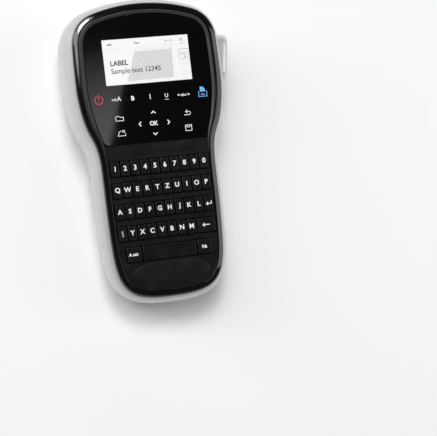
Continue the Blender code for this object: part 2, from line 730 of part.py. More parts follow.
def make_cassette_bay(axes, finishes, m):
    half_x = CASSETTE_WIDTH / 2 + CASSETTE_SIDE_GAP
    top = TOP - CASSETTE_FROM_TOP
    end = top - CASSETTE_LENGTH - CASSETTE_SIDE_GAP
    wide = cutter_arm()["low"] - CUTTER_TRAVEL - 2 * GAP
    plate_top = TOP - BAY_FROM_TOP
    plate_end = end - BAY_WALL - GAP
    plate = rounded_rectangle(
        2 * wide, plate_top - plate_end, BAY_CORNER, 3, centre=(0, (plate_top + plate_end) / 2)
    )
    bay = add(
        "cassette_bay", slab(plate, m["plate_low"], m["plate_high"]), finishes["frame"], axes
    )
    wall_low = m["cassette_low"] + BAY_WALL_SHORT
    outer_x, outer_end = half_x + BAY_WALL, end - BAY_WALL
    walls = [
        Vector(p)
        for p in (
            (-outer_x, outer_end),
            (outer_x, outer_end),
            (outer_x, top),
            (half_x, top),
            (half_x, end),
            (-half_x, end),
            (-half_x, top),
            (-outer_x, top),
        )
    ]
    combine(bay, slab(walls, wall_low, m["plate_low"] + GAP), "UNION", "bay_walls")
    bore = circle(SHAFT_RADIUS + RUNNING_GAP, 20, m["roller"])
    hole = slab(bore, m["plate_low"] - BAY_PLATE, m["plate_high"] + BAY_PLATE)
    combine(bay, hole, "DIFFERENCE", "roller_shaft_hole")
    clamp = half_ring(m["motor"], MOTOR_RADIUS + GAP, MOTOR_RADIUS + GAP + BAY_WALL, MOTOR_ANGLE)
    clamp_high = m["motor_low"] + m["motor_length"] * MOTOR_CLAMP_SHARE
    combine(bay, slab(clamp, m["plate_high"] - GAP, clamp_high), "UNION", "motor_clamp")

    case = rounded_rectangle(CASSETTE_WIDTH, CASSETTE_LENGTH, CASSETTE_CORNER, 3)
    place = (0, top - CASSETTE_LENGTH / 2, 0)
    cassette = slab(case, m["cassette_low"], m["plate_low"] - GAP)
    add("label_cassette", cassette, finishes["cassette"], axes, place, smooth=True)

    head_x, head_y, head_z = HEAD_BLOCK
    y = m["roller"].y - head_y / 2
    head = block(
        (-TAPE_SPACE / 2 - head_x, y, m["roller_high"] - head_z),
        (-TAPE_SPACE / 2, y + head_y, m["roller_high"]),
    )
    add("print_head", head, finishes["steel"], axes)


def make_drive(axes, finishes, m):
    toward = math.radians(MOTOR_ANGLE)
    wheel = gear_outline(ROLLER_TEETH, toward)
    place = (*m["roller"], 0)
    roller = add(
        "feed_roller", slab(wheel, m["gear_low"], m["gear_high"]), finishes["rubber"], axes, place
    )
    shaft = turned(
        (
            (ROLLER_RADIUS, m["roller_low"]),
            (ROLLER_RADIUS, m["roller_high"]),
            (SHAFT_RADIUS, m["roller_high"]),
            (SHAFT_RADIUS, m["gear_low"] + GAP),
        ),
        20,
    )
    combine(roller, moved(shaft, place), "UNION", "roller_and_shaft")

    half_tooth = math.pi / PINION_TEETH
    pinion_outline = gear_outline(PINION_TEETH, toward + math.pi + half_tooth)
    place = (*m["motor"], 0)
    pinion = add(
        "motor_pinion",
        slab(pinion_outline, m["gear_low"], m["gear_high"]),
        finishes["brass"],
        axes,
        place,
    )
    low = m["motor_low"]
    shaft_end = low + m["motor_length"] / 2
    stub = slab(circle(SHAFT_RADIUS, 20, m["motor"]), m["gear_high"] - GAP, shaft_end)
    combine(pinion, stub, "UNION", "pinion_shaft")
    bore = SHAFT_RADIUS + RUNNING_GAP
    rings = (
        (bore, shaft_end + RUNNING_GAP + GAP),
        (bore, low),
        (MOTOR_RADIUS - MOTOR_CHAMFER, low),
        (MOTOR_RADIUS, low + MOTOR_CHAMFER),
        (MOTOR_RADIUS, m["motor_high"]),
    )
    add("feed_motor", turned(rings, 28), finishes["steel"], axes, place, smooth=True)


# ---------------------------------------------------------------- cutter


def button_body(x_low, x_high, grow, fall=0.0):
    """A bar along x with the round-ended section of the cutter button, shorter at the grip end by a fall."""
    y = TOP - BUTTON_FROM_TOP
    round_end = BUTTON_HEIGHT * BUTTON_ROUND_SHARE
    section = rounded_rectangle(
        BUTTON_LENGTH + 2 * grow, BUTTON_HEIGHT + 2 * grow, round_end + grow, 4
    )
    inner = [Vector((x_low, y + p.x, -BUTTON_DEPTH + p.y)) for p in section]
    slope = fall / BUTTON_LENGTH
    outer = [
        Vector((x_high + slope * (p.x - BUTTON_LENGTH / 2), y + p.x, -BUTTON_DEPTH + p.y))
        for p in section
    ]
    return skin([inner, outer])


def cutter_arm():
    """Where the cutter button ends inside the case, and the arm behind it, along x."""
    inner = HEAD_WIDTH / 2 - WALL - BUTTON_DEEP + FLARE
    return {"button": inner, "high": inner - GAP, "low": inner - GAP - ARM_THICKNESS}


def make_cutter(axes, finishes, m):
    half = HEAD_WIDTH / 2
    arm = cutter_arm()
    body = button_body(arm["button"], half + FLARE + BUTTON_PROUD, 0, BUTTON_FALL)
    button = add("cutter_button", body, finishes["silver"], axes, smooth=True)
    soften = button.modifiers.new("soft_edges", "BEVEL")
    soften.width = BUTTON_SOFTENING
    soften.segments = 2
    soften.limit_method = "ANGLE"
    soften.angle_limit = math.radians(60)

    y_button = TOP - BUTTON_FROM_TOP
    y_blade = TOP - BLADE_FROM_TOP
    arm_low, arm_high = arm["low"], arm["high"]
    high = m["plate_low"] - ARM_UNDER_PLATE
    low = high - ARM_HEIGHT
    near, far = y_button - ARM_WIDTH / 2, y_button + ARM_WIDTH / 2
    cross = y_button + ARM_CROSS_OFFSET
    rise = half - ARM_RISE_INSET
    tip = TAPE_SPACE / 2 + BLADE_CLEARANCE
    heel = tip + BLADE_REACH
    y_back = y_blade + BLADE_THICKNESS
    blade = add(
        "cutter_blade",
        block((tip, y_blade, m["roller_low"]), (heel, y_back, m["roller_high"])),
        finishes["steel"],
        axes,
    )
    pieces = (
        ((arm_low, near, low), (arm_high, far, -BUTTON_DEPTH + ARM_WIDTH / 2)),
        ((arm_low, near, low), (arm_high, cross, high)),
        ((rise, cross - ARM_THICKNESS, low), (arm_low + GAP, cross, high)),
        ((rise, cross - ARM_THICKNESS, low), (rise + ARM_BEAM, y_back, high)),
        ((heel - ARM_BEAM, y_blade - BLADE_THICKNESS / 2, low), (rise + GAP, y_back, high)),
    )
    for number, (near_corner, far_corner) in enumerate(pieces):
        grow = Vector((1, 1, 1)) * ARM_OVERLAP * number
        piece = block(Vector(near_corner) - grow, Vector(far_corner) + grow)
        combine(blade, piece, "UNION", f"blade_arm_{number}")


# ---------------------------------------------------------------- assembly


def make_finishes():
    return {
        "black": material("black_case", (0.012, 0.012, 0.013), 0.35),
        "gloss": material("gloss_panel", (0.006, 0.006, 0.007), 0.06),
        "window": material("display_window", (0.90, 0.92, 0.92), 0.04),
        "display": material("display", (0.82, 0.84, 0.84), 0.35),
        "key": material("keys", (0.025, 0.026, 0.028), 0.55),
        "mat": material("keypad_rubber", (0.03, 0.03, 0.032), 0.8),
        "board": material("circuit_board", (0.02, 0.17, 0.07), 0.45),
        "silver": material("silver_case", (0.72, 0.73, 0.75), 0.35),
        "frame": material("bay_plastic", (0.10, 0.10, 0.11), 0.6),
        "cassette": material("cassette", (0.62, 0.63, 0.65), 0.4),
        "battery": material("battery_wrap", (0.03, 0.05, 0.12), 0.4),
        "rubber": material("roller_rubber", (0.03, 0.03, 0.03), 0.85),
        "steel": material("steel", (0.60, 0.60, 0.62), 0.3, 1.0),
        "brass": material("brass", (0.72, 0.52, 0.22), 0.35, 1.0),
    }


def stand_on_desk(axes):
    """Moves the axes so that the back is on z = 0 and the footprint's middle is at x = y = 0."""
    axes.rotation_euler = (TILT, 0, 0)
    lean = Matrix.Rotation(TILT, 3, "X")
    left = -(HEAD_WIDTH / 2 + FLARE)
    right = HEAD_WIDTH / 2 + FLARE + BUTTON_PROUD - BUTTON_FALL * BUTTON_SOFTENING / BUTTON_LENGTH
    outside, _ = shell_rings()
    points = [lean @ point for ring in outside for point in ring]
    front = min(p.y for p in points)
    back = max(p.y for p in points)
    low = min(p.z for p in points)
    axes.location = (-(left + right) / 2, -(front + back) / 2, -low)


def main():
    clear_scene()
    finishes = make_finishes()
    axes = bpy.data.objects.new("face_axes", None)
    bpy.context.scene.collection.objects.link(axes)
    stand_on_desk(axes)
    m = mechanism()
    make_front_cover(axes, finishes["black"])
    make_panel_and_display(axes, finishes)
    make_keyboard(axes, finishes)
    make_board(axes, finishes["board"])
    make_rear(axes, finishes)
    make_cassette_bay(axes, finishes, m)
    make_drive(axes, finishes, m)
    make_cutter(axes, finishes, m)


main()
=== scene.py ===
import json
import math

import bmesh
import bpy
from mathutils import Matrix, Vector
from mathutils.geometry import interpolate_bezier


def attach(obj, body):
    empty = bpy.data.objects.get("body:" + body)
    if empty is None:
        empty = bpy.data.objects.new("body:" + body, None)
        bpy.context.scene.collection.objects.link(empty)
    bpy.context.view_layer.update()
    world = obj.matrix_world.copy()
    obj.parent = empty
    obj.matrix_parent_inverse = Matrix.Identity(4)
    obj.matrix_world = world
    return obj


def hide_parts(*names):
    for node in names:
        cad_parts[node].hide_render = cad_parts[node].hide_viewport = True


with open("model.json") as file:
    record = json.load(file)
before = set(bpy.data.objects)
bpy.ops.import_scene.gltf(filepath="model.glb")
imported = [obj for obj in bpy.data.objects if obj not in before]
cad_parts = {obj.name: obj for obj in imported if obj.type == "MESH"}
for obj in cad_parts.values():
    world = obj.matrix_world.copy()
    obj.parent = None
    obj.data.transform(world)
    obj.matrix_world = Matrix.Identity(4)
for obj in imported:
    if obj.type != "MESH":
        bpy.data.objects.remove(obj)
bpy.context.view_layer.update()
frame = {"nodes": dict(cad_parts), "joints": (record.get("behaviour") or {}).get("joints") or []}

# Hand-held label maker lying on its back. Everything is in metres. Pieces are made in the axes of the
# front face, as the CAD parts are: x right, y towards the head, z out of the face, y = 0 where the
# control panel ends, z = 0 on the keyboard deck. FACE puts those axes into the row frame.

GAP = 0.0003
MM = 0.001

# Sizes that the CAD part has too
HEAD_WIDTH = 0.1032
HEAD_LENGTH = 0.0966
TOP = HEAD_LENGTH
TOP_SAG = 0.0058
SHOULDER_DROP = 0.0260
SHOULDER_INSET = 0.0006
WIDEST_DROP = 0.0540
NECK_Y = 0.0083
GRIP_Y = -0.0200
GRIP_TAPER = 0.0010
HEEL_RISE = 0.0344
KEYBOARD_MARGIN = 0.0056
KEYBOARD_GAP = 0.0110
BOTTOM_LIP = 0.0260
KEY_PITCH_X = 0.00705
KEY_PITCH_Y = 0.0148
KEY_WIDTH = 0.0061
KEY_LENGTH = 0.0102
KEY_PROUD = 0.0018
KEY_SKIRT = 0.0036
SIDE_KEY_WIDTH = 0.0101
SPACE_BAR_WIDTH = 0.0384
KEYBOARD_WIDTH = 9 * KEY_PITCH_X + KEY_WIDTH
KEYBOARD_LENGTH = 4 * KEY_PITCH_Y + KEY_LENGTH
GRIP_WIDTH = KEYBOARD_WIDTH + 2 * KEYBOARD_MARGIN
BOTTOM = -(KEYBOARD_GAP + KEYBOARD_LENGTH + BOTTOM_LIP)
HEAD_DEPTH = 0.058
HEEL_DEPTH = 0.036
SLOPE = (HEAD_DEPTH - HEEL_DEPTH) / (TOP - BOTTOM)
WALL = 0.0020
FINGER_RELIEF = 0.0070
RELIEF_HEAD_END = 0.002
RELIEF_HEEL_END = -0.086
SEAM_DEPTH = 0.0020
SHELL_PROFILE = (
    (0.00, 0.0006),
    (0.05, 0.0026),
    (0.13, 0.0040),
    (0.26, 0.0046),
    (0.50, 0.0042),
    (0.70, 0.0028),
    (0.85, 0.0006),
    (0.94, -0.0028),
    (1.00, -0.0088),
)
FLARE = 0.0046
RIM_WIDTH = 0.0042
RIM_HEIGHT = 0.0016
BEVEL_WIDTH_HEAD = 0.0029
BEVEL_WIDTH_GRIP = 0.0004
DECK_THICKNESS = 0.0022
PANEL_THICKNESS = 0.0013
PANEL_PROUD = 0.0003
PANEL_BOTTOM = 0.0005
PANEL_CORNER = 0.0040
DISPLAY_WIDTH = 0.0614
DISPLAY_HEIGHT = 0.0314
DISPLAY_Y = TOP - 0.0239 - DISPLAY_HEIGHT / 2
DOOR_WIDTH = 0.0720
DOOR_TOP = TOP - 0.0146
DOOR_LENGTH = 0.0700
BATTERY_DOOR_WIDTH = 0.0580
BATTERY_DOOR_TOP = BOTTOM + 0.0864
BATTERY_DOOR_DEPTH = 0.0160
EXIT_WIDTH = 0.0054
EXIT_LENGTH = 0.0170
BUTTON_LENGTH = 0.0340
BUTTON_HEIGHT = 0.0170
BUTTON_PROUD = 0.0084
BUTTON_FALL = 0.0046
BUTTON_Y = TOP - 0.0406
BUTTON_DEPTH = 0.0175
BUTTON_ROUND = 0.46 * BUTTON_HEIGHT

# Sizes of the detail that only the visible model has
GROOVE_PLACES = (-0.0058, -0.0072)
GROOVE_END = 0.0095
GROOVE_WIDTH = 0.00032
GROOVE_DEPTH = 0.0004
PAD_MIDDLE = -0.0897
PAD_SQUARENESS = 0.86
PAD_STEPS = (  # half width, half length, height
    (0.0285, 0.0082, -0.0002),
    (0.0283, 0.0080, 0.00008),
    (0.0275, 0.0074, 0.00018),
    (0.0200, 0.0050, 0.00026),
    (0.0090, 0.0022, 0.00030),
)
KEY_CORNER = 0.0008
KEY_EDGE = 0.00055
KEY_WALL = 0.0009
BUTTON_SOFTENING = 0.0048
INK_LOW = PANEL_PROUD - 0.00001
INK_HIGH = PANEL_PROUD + 0.00003
CUT_BELOW = 0.003
NOTCH_DEPTH = 0.0006
SCREWS = ((-0.0395, 0.0760), (0.0395, 0.0760), (-0.0335, -0.0060), (0.0335, -0.0060))
SCREW_WELL = 0.0013
SPOOLS = (  # name, x and y from the middle, radius
    ("tape", -0.0140, 0.0030, 0.0102),
    ("ribbon", 0.0165, 0.0050, 0.0078),
)
SPOOL_DEPTH = 0.0040
HUB_RADIUS = 0.0040
LABEL_SIZE = (0.034, 0.0085)
LABEL_RECESS = 0.0003
BATTERY_LABEL = (0.036, 0.030)
CONTACT_SIZE = (0.0040, 0.0060)
CONTACT_PITCH = 0.008
CONTACT_FROM_END = 0.0052
SHAFT_REACH = 0.0017
MOTOR_CAP = 0.0006
BLADE_REAR = 0.0012
BLADE_REACH = 0.0195

# Studio. The camera and the glare card are placed in face axes, the rest in the row frame.
FLOOR_COLOUR = (0.90, 0.90, 0.90)
FLOOR_HALF = 3.0
SKY_FADE = (0.28, 0.62, 0.62, 0.05)  # sines of elevation where the fade starts and ends, both strengths
SUN_WAY = (0.25, -0.35, -0.90)
SUN_ENERGY = 1.4
SUN_ANGLE = 40
LIGHTS = (  # name, place, width, height, power; each looks at the origin
    ("key_head", (-0.16, 0.54, 1.22), 0.34, 0.34, 5.0),
    ("side_left", (-1.05, 0.55, 0.75), 0.5, 1.0, 5),
    ("fill_right", (1.15, -0.10, 0.95), 0.8, 1.1, 4.5),
)
GLARE_EDGE_TOP = (0.1388, 0.1415, 0.60)
GLARE_EDGE_BOTTOM = (0.1019, 0.0364, 0.60)
GLARE_AIM = (0.235, 0.058, 1.0)
GLARE_WIDTH = 0.10
GLARE_LENGTH = 0.34
GLARE_SPREAD = 9.0
GLARE_POWER = 0.0006
CAMERA_PLACE = (-0.2350, -0.0532, 0.8939)
CAMERA_X = (0.94992, -0.11475, 0.29066)
CAMERA_Y = (0.11093, 0.99339, 0.02966)
CAMERA_Z = (-0.29214, 0.00407, 0.95637)
CAMERA_LENS = 110.2

KEY_ROWS = (
    ("1", "2", "3", "4", "5", "6", "7", "8", "9", "0"),
    ("q", "w", "e", "r", "t", "z", "u", "i", "o", "p"),
    ("a", "s", "d", "f", "g", "h", "j", "k", "l", "enter"),
    ("caps", "y", "x", "c", "v", "b", "n", "m", "delete"),
    ("accent", "space", "symbols"),
)


def face_axes():
    """The matrix from face axes to the row frame, from a key's way down and the control panel's place."""
    press = next(j for j in frame["joints"] if j["name"] == "key_1_press")
    down = Vector(press["axis"])
    turn = Matrix.Rotation(math.atan2(down.y, -down.z), 4, "X")
    level_out = turn.inverted()
    points = [level_out @ v.co for v in frame["nodes"]["control_panel"].data.vertices]
    xs = [p.x for p in points]
    origin = Vector(
        (
            (min(xs) + max(xs)) / 2,
            min(p.y for p in points) - PANEL_BOTTOM,
            max(p.z for p in points) - PANEL_PROUD,
        )
    )
    return turn @ Matrix.Translation(origin)


FACE = face_axes()


# ---------------------------------------------------------------- materials


def set_range(node, numbers):
    for socket, number in zip(("From Min", "From Max", "To Min", "To Max"), numbers):
        node.inputs[socket].default_value = number


class Shader:
    """A material with a Principled shader, and short ways to vary it over the surface."""

    def __init__(self, name, colour, roughness, **sockets):
        self.material = bpy.data.materials.new(name)
        self.material.use_nodes = True
        self.nodes = self.material.node_tree.nodes
        self.links = self.material.node_tree.links
        self.bsdf = self.nodes["Principled BSDF"]
        self.bsdf.inputs["Base Color"].default_value = (*colour, 1)
        self.bsdf.inputs["Roughness"].default_value = roughness
        for socket, value in sockets.items():
            self.bsdf.inputs[socket.replace("_", " ")].default_value = value
        self.coordinates = self.nodes.new("ShaderNodeTexCoord").outputs["Object"]
        self.normal = None

    def stretched(self, scale):
        mapping = self.nodes.new("ShaderNodeMapping")
        mapping.inputs["Scale"].default_value = scale
        self.links.new(self.coordinates, mapping.inputs["Vector"])
        return mapping.outputs["Vector"]

    def noise(self, scale, detail=3.0, rough=0.55, stretch=None):
        made = self.nodes.new("ShaderNodeTexNoise")
        made.inputs["Scale"].default_value = scale
        made.inputs["Detail"].default_value = detail
        made.inputs["Roughness"].default_value = rough
        source = self.stretched(stretch) if stretch else self.coordinates
        self.links.new(source, made.inputs["Vector"])
        return made.outputs["Fac"]

    def cells(self, scale):
        made = self.nodes.new("ShaderNodeTexVoronoi")
        made.inputs["Scale"].default_value = scale
        self.links.new(self.coordinates, made.inputs["Vector"])
        return made.outputs["Distance"]

    def band(self, value, low, high, to_low, to_high):
        made = self.nodes.new("ShaderNodeMapRange")
        set_range(made, (low, high, to_low, to_high))
        self.links.new(value, made.inputs["Value"])
        return made.outputs["Result"]

    def colours(self, value, *stops):
        ramp = self.nodes.new("ShaderNodeValToRGB")
        elements = ramp.color_ramp.elements
        while len(elements) < len(stops):
            elements.new(0.5)
        for element, (place, colour) in zip(elements, stops):
            element.position = place
            element.color = (*colour, 1)
        self.links.new(value, ramp.inputs["Fac"])
        self.links.new(ramp.outputs["Color"], self.bsdf.inputs["Base Color"])
        return self

    def roughness(self, value, low, high):
        self.links.new(self.band(value, 0.3, 0.7, low, high), self.bsdf.inputs["Roughness"])
        return self

    def bump(self, value, height, strength=1.0):
        """Height is the real depth of the relief, in metres."""
        made = self.nodes.new("ShaderNodeBump")
        made.inputs["Strength"].default_value = strength
        made.inputs["Distance"].default_value = height
        self.links.new(value, made.inputs["Height"])
        if self.normal:
            self.links.new(self.normal, made.inputs["Normal"])
        self.normal = made.outputs["Normal"]
        self.links.new(self.normal, self.bsdf.inputs["Normal"])
        return self


def shades(colour, spread):
    """Three stops round a colour, for a ramp."""
    return (
        (0.30, tuple(c * (1 - spread) for c in colour)),
        (0.50, colour),
        (0.72, tuple(min(1.0, c * (1 + spread)) for c in colour)),
    )


def moulded(name, colour, roughness, grain=2600, height=0.00002, spread=0.12, spare=0.07, **sockets):
    """Moulded plastic: a fine spark-eroded grain, gloss changed by handling, and a little colour drift."""
    made = Shader(name, colour, roughness, **sockets)
    broad = made.noise(38, 4, 0.6)
    made.colours(broad, *shades(colour, spread))
    made.roughness(made.noise(90, 5, 0.65), roughness - spare, roughness + spare)
    made.bump(made.noise(grain, 2, 0.5), height, 0.55)
    return made.material


def glossy(name, colour, roughness, **sockets):
    """Polished plastic: fine wiping scratches, a slight waviness from moulding and faint smears."""
    made = Shader(name, colour, roughness, **sockets)
    smears = made.noise(24, 5, 0.7, (1.0, 2.2, 1.0))
    made.colours(smears, *shades(colour, 0.25))
    made.roughness(smears, roughness * 0.7, roughness * 1.9)
    made.bump(made.noise(14, 1, 0.4), 0.00002, 0.15)
    made.bump(made.noise(700, 3, 0.7, (0.12, 1.0, 1.0)), 0.000002, 0.30)
    return made.material


def silver(name, colour, roughness, metallic):
    """Silver paint on plastic: metal flake under a thin lacquer, with a little orange peel."""
    made = Shader(name, colour, roughness, Metallic=metallic, Coat_Weight=0.25, Coat_Roughness=0.20)
    flake = made.cells(5200)
    made.colours(flake, *shades(colour, 0.06))
    made.roughness(made.noise(60, 4, 0.6), roughness - 0.04, roughness + 0.06)
    made.bump(made.noise(600, 2, 0.5), 0.0000012, 0.25)
    made.bump(flake, 0.0000010, 0.20)
    return made.material


def ink(name, colour, roughness=0.5, **sockets):
    """Screen-printed ink: slightly uneven coverage and a dry, faintly rough surface."""
    made = Shader(name, colour, roughness, **sockets)
    made.colours(made.noise(900, 3, 0.6), *shades(colour, 0.05))
    made.roughness(made.noise(300, 2, 0.5), roughness - 0.06, roughness + 0.06)
    made.bump(made.noise(3200, 2, 0.5), 0.000006, 0.4)
    return made.material


def metal(name, colour, roughness, stretch=(1.0, 1.0, 18.0)):
    """Drawn or ground metal, with fine lines along one way and dull patches."""
    made = Shader(name, colour, roughness, Metallic=1.0)
    made.colours(made.noise(120, 4, 0.6), *shades(colour, 0.10))
    lines = made.noise(500, 4, 0.7, stretch)
    made.roughness(lines, roughness - 0.08, roughness + 0.14)
    made.bump(lines, 0.000008, 0.35)
    return made.material


def rubber(name, colour, roughness=0.8):
    """Matt rubber, with bloom and fine dust that change its shade."""
    made = Shader(name, colour, roughness, Specular_IOR_Level=0.3)
    made.colours(made.noise(240, 4, 0.7), *shades(colour, 0.25))
    made.roughness(made.noise(160, 3, 0.6), roughness - 0.1, roughness + 0.1)
    made.bump(made.noise(1500, 4, 0.7), 0.00003, 0.6)
    return made.material


def circuit_board(name):
    """Green solder mask over copper tracks, which show as raised, slightly lighter lines."""
    made = Shader(name, (0.02, 0.16, 0.07), 0.35)
    tracks = made.nodes.new("ShaderNodeTexBrick")
    tracks.inputs["Scale"].default_value = 190
    tracks.inputs["Mortar Size"].default_value = 0.03
    tracks.inputs["Color1"].default_value = (0.01, 0.10, 0.045, 1)
    tracks.inputs["Color2"].default_value = (0.014, 0.13, 0.055, 1)
    tracks.inputs["Mortar"].default_value = (0.03, 0.26, 0.11, 1)
    made.links.new(made.coordinates, tracks.inputs["Vector"])
    made.links.new(tracks.outputs["Color"], made.bsdf.inputs["Base Color"])
    made.roughness(made.noise(80, 3, 0.6), 0.26, 0.44)
    made.bump(tracks.outputs["Fac"], 0.00003, 0.5)
    return made.material


M = {
    "rim": glossy("rim_black", (0.0025, 0.0025, 0.003), 0.045, Specular_IOR_Level=0.8),
    "panel": glossy("panel_black", (0.0012, 0.0012, 0.0014), 0.04),
    "bevel": moulded(
        "bevel_satin", (0.030, 0.0305, 0.032), 0.32, 3000, 0.000010, 0.10,
        Specular_IOR_Level=0.35,
    ),
    "deck": moulded(
        "deck_satin", (0.0042, 0.0046, 0.0054), 0.34, 2400, 0.000012, 0.15,
        Specular_IOR_Level=0.25,
    ),
    "pad": moulded(
        "heel_pad", (0.0062, 0.0064, 0.0068), 0.32, 2400, 0.000012, 0.15,
        Specular_IOR_Level=0.3,
    ),
    "key": moulded(
        "key_plastic", (0.0034, 0.0036, 0.0042), 0.30, 3200, 0.000010, 0.18,
        Specular_IOR_Level=0.3,
    ),
    "white": ink("legend_white", (0.88, 0.88, 0.87), 0.45),
    "dim": ink("legend_dim", (0.42, 0.42, 0.42), 0.5),
    "red": ink("legend_red", (0.72, 0.045, 0.10), 0.45),
    "blue": ink("legend_blue", (0.16, 0.45, 0.86), 0.45),
    "lcd": ink("lcd_ground", (0.93, 0.935, 0.935), 0.14, Coat_Weight=0.6, Coat_Roughness=0.03),
    "lcd_grey": ink("lcd_grey", (0.70, 0.71, 0.715), 0.14, Coat_Weight=0.6, Coat_Roughness=0.03),
    "lcd_dark": ink("lcd_segments", (0.055, 0.057, 0.062), 0.25),
    "lcd_mid": ink("lcd_icons", (0.34, 0.35, 0.36), 0.25),
    "silver": silver("silver_paint", (0.56, 0.565, 0.57), 0.34, 0.60),
    "button": silver("button_silver", (0.62, 0.625, 0.63), 0.30, 0.50),
    "bay": moulded("bay_plastic", (0.055, 0.056, 0.060), 0.52, 1800, 0.00003, 0.18),
    "cassette": moulded("cassette_plastic", (0.60, 0.605, 0.61), 0.38, 2000, 0.00002, 0.06),
    "tape": ink("tape_white", (0.86, 0.86, 0.84), 0.35),
    "ribbon": moulded("ribbon_spool", (0.03, 0.03, 0.035), 0.30, 2000, 0.00001, 0.2),
    "rubber": rubber("roller_rubber", (0.022, 0.022, 0.023)),
    "mat": rubber("keypad_rubber", (0.030, 0.030, 0.033), 0.75),
    "steel": metal("steel", (0.58, 0.58, 0.60), 0.30),
    "screw": metal("screw_steel", (0.30, 0.30, 0.31), 0.34, (6.0, 6.0, 1.0)),
    "gear": moulded("acetal", (0.72, 0.71, 0.67), 0.34, 2200, 0.00001, 0.04),
    "brass": metal("brass", (0.70, 0.50, 0.21), 0.32),
    "battery": moulded("battery_wrap", (0.018, 0.030, 0.075), 0.30, 900, 0.00002, 0.25),
    "board": circuit_board("circuit_board"),
    "glass": moulded("display_back", (0.50, 0.51, 0.50), 0.30, 800, 0.00001, 0.05),
}

# ---------------------------------------------------------------- outlines


def smooth_step(low, high, value):
    share = min(1.0, max(0.0, (value - low) / (high - low)))
    return share * share * (3 - 2 * share)


def half_outline(fine):
    """The right half of the front's edge from the top, with this many pieces for each of the CAD's."""
    head, grip = HEAD_WIDTH / 2, GRIP_WIDTH / 2
    neck = (head + grip) / 2 - SHOULDER_INSET
    knots = (  # point, direction, handle before, handle after, pieces up to the next knot
        (Vector((0, TOP)), Vector((1, 0)), 0, 0.24 * head, 5),
        (Vector((0.70 * head, TOP - TOP_SAG)), Vector((0.945, -0.326)), 0.24 * head, 0.0085, 6),
        (Vector((head - SHOULDER_INSET, TOP - SHOULDER_DROP)), Vector((0.06, -1)), 0.0105, 0.009, 3),
        (Vector((head, TOP - WIDEST_DROP)), Vector((0, -1)), 0.009, 0.012, 4),
        (Vector((neck, NECK_Y)), Vector((-0.42, -0.91)), 0.009, 0.010, 5),
        (Vector((grip, GRIP_Y)), Vector((-0.01, -1)), 0.013, 0.018, 3),
        (Vector((grip - GRIP_TAPER, BOTTOM + HEEL_RISE)), Vector((-0.06, -1)), 0.018, 0.030, 9),
        (Vector((0, BOTTOM)), Vector((-1, 0)), 0.70 * grip, 0, 0),
    )
    points = []
    for (start, way, _, reach, pieces), (end, way_in, back, _, _) in zip(knots, knots[1:]):
        handle = start + way.normalized() * reach
        handle_in = end - way_in.normalized() * back
        points += interpolate_bezier(start, handle, handle_in, end, pieces * fine + 1)[:-1]
    return [Vector((p.x, p.y)) for p in points] + [Vector((0, BOTTOM))]


FINE_OUTLINE = half_outline(4)


def outline(distance):
    """The whole edge, clockwise from the top, moved out by a distance that may depend on y."""
    half = []
    last = len(FINE_OUTLINE) - 1
    for i, point in enumerate(FINE_OUTLINE):
        along = (FINE_OUTLINE[min(i + 1, last)] - FINE_OUTLINE[max(i - 1, 0)]).normalized()
        out = Vector((-along.y, along.x))
        if i in (0, last):
            out = Vector((0, 1 if i == 0 else -1))
        half.append(point + out * (distance(point.y) if callable(distance) else distance))
    return half + [Vector((-p.x, p.y)) for p in reversed(half[1:-1])]


def deck_inset(y):
    bevel = BEVEL_WIDTH_GRIP + (BEVEL_WIDTH_HEAD - BEVEL_WIDTH_GRIP) * smooth_step(-0.012, 0.022, y)
    return -(RIM_WIDTH + bevel)


def back_plane(y):
    return HEEL_DEPTH + (y - BOTTOM) * SLOPE


def back_depth(y):
    share = (y - RELIEF_HEEL_END) / (RELIEF_HEAD_END - RELIEF_HEEL_END)
    if not 0 < share < 1:
        return back_plane(y)
    return back_plane(y) - FINGER_RELIEF * 0.5 * (1 - math.cos(2 * math.pi * share))


def panel_outline(grow):
    """The control panel: the deck's edge in the head, closed by a straight bottom with round corners."""
    cut = PANEL_BOTTOM - grow
    loop = outline(lambda y: deck_inset(y) - PANEL_PROUD + grow)
    half = loop[: len(loop) // 2]
    above = [p for p in half if p.y > cut + PANEL_CORNER]
    below = half[len(above)]
    along = (below - above[-1]).normalized()
    start = above[-1] + along * ((cut + PANEL_CORNER - above[-1].y) / along.y)
    corner = start + along * (PANEL_CORNER / -along.y)
    end = corner - Vector((PANEL_CORNER, 0))
    turn = [start.lerp(corner, k / 8).lerp(corner.lerp(end, k / 8), k / 8) for k in range(9)]
    right = above + turn
    return right + [Vector((-p.x, p.y)) for p in reversed(right[1:])]


def rounded_rectangle(width, length, radius, steps=4, centre=(0, 0)):
    points = []
    for sign_x, sign_y, start in ((1, 1, 0), (-1, 1, 90), (-1, -1, 180), (1, -1, 270)):
        middle_x = centre[0] + sign_x * (width / 2 - radius)
        middle_y = centre[1] + sign_y * (length / 2 - radius)
        for k in range(steps + 1):
            angle = math.radians(start + 90 * k / steps)
            x, y = middle_x + radius * math.cos(angle), middle_y + radius * math.sin(angle)
            points.append(Vector((x, y)))
    return points


def circle(radius, count, centre=(0, 0)):
    turn = 2 * math.pi / count
    return [
        Vector((centre[0] + radius * math.cos(turn * k), centre[1] + radius * math.sin(turn * k)))
        for k in range(count)
    ]


# ---------------------------------------------------------------- meshes


def shown(name, data):
    obj = bpy.data.objects.new(name, data)
    bpy.context.scene.collection.objects.link(obj)
    return obj


def mesh_from(name, bm):
    mesh = bpy.data.meshes.new(name)
    bm.to_mesh(mesh)
    bm.free()
    return mesh


def level(loop, z):
    return [Vector((p[0], p[1], z(p[1]) if callable(z) else z)) for p in loop]


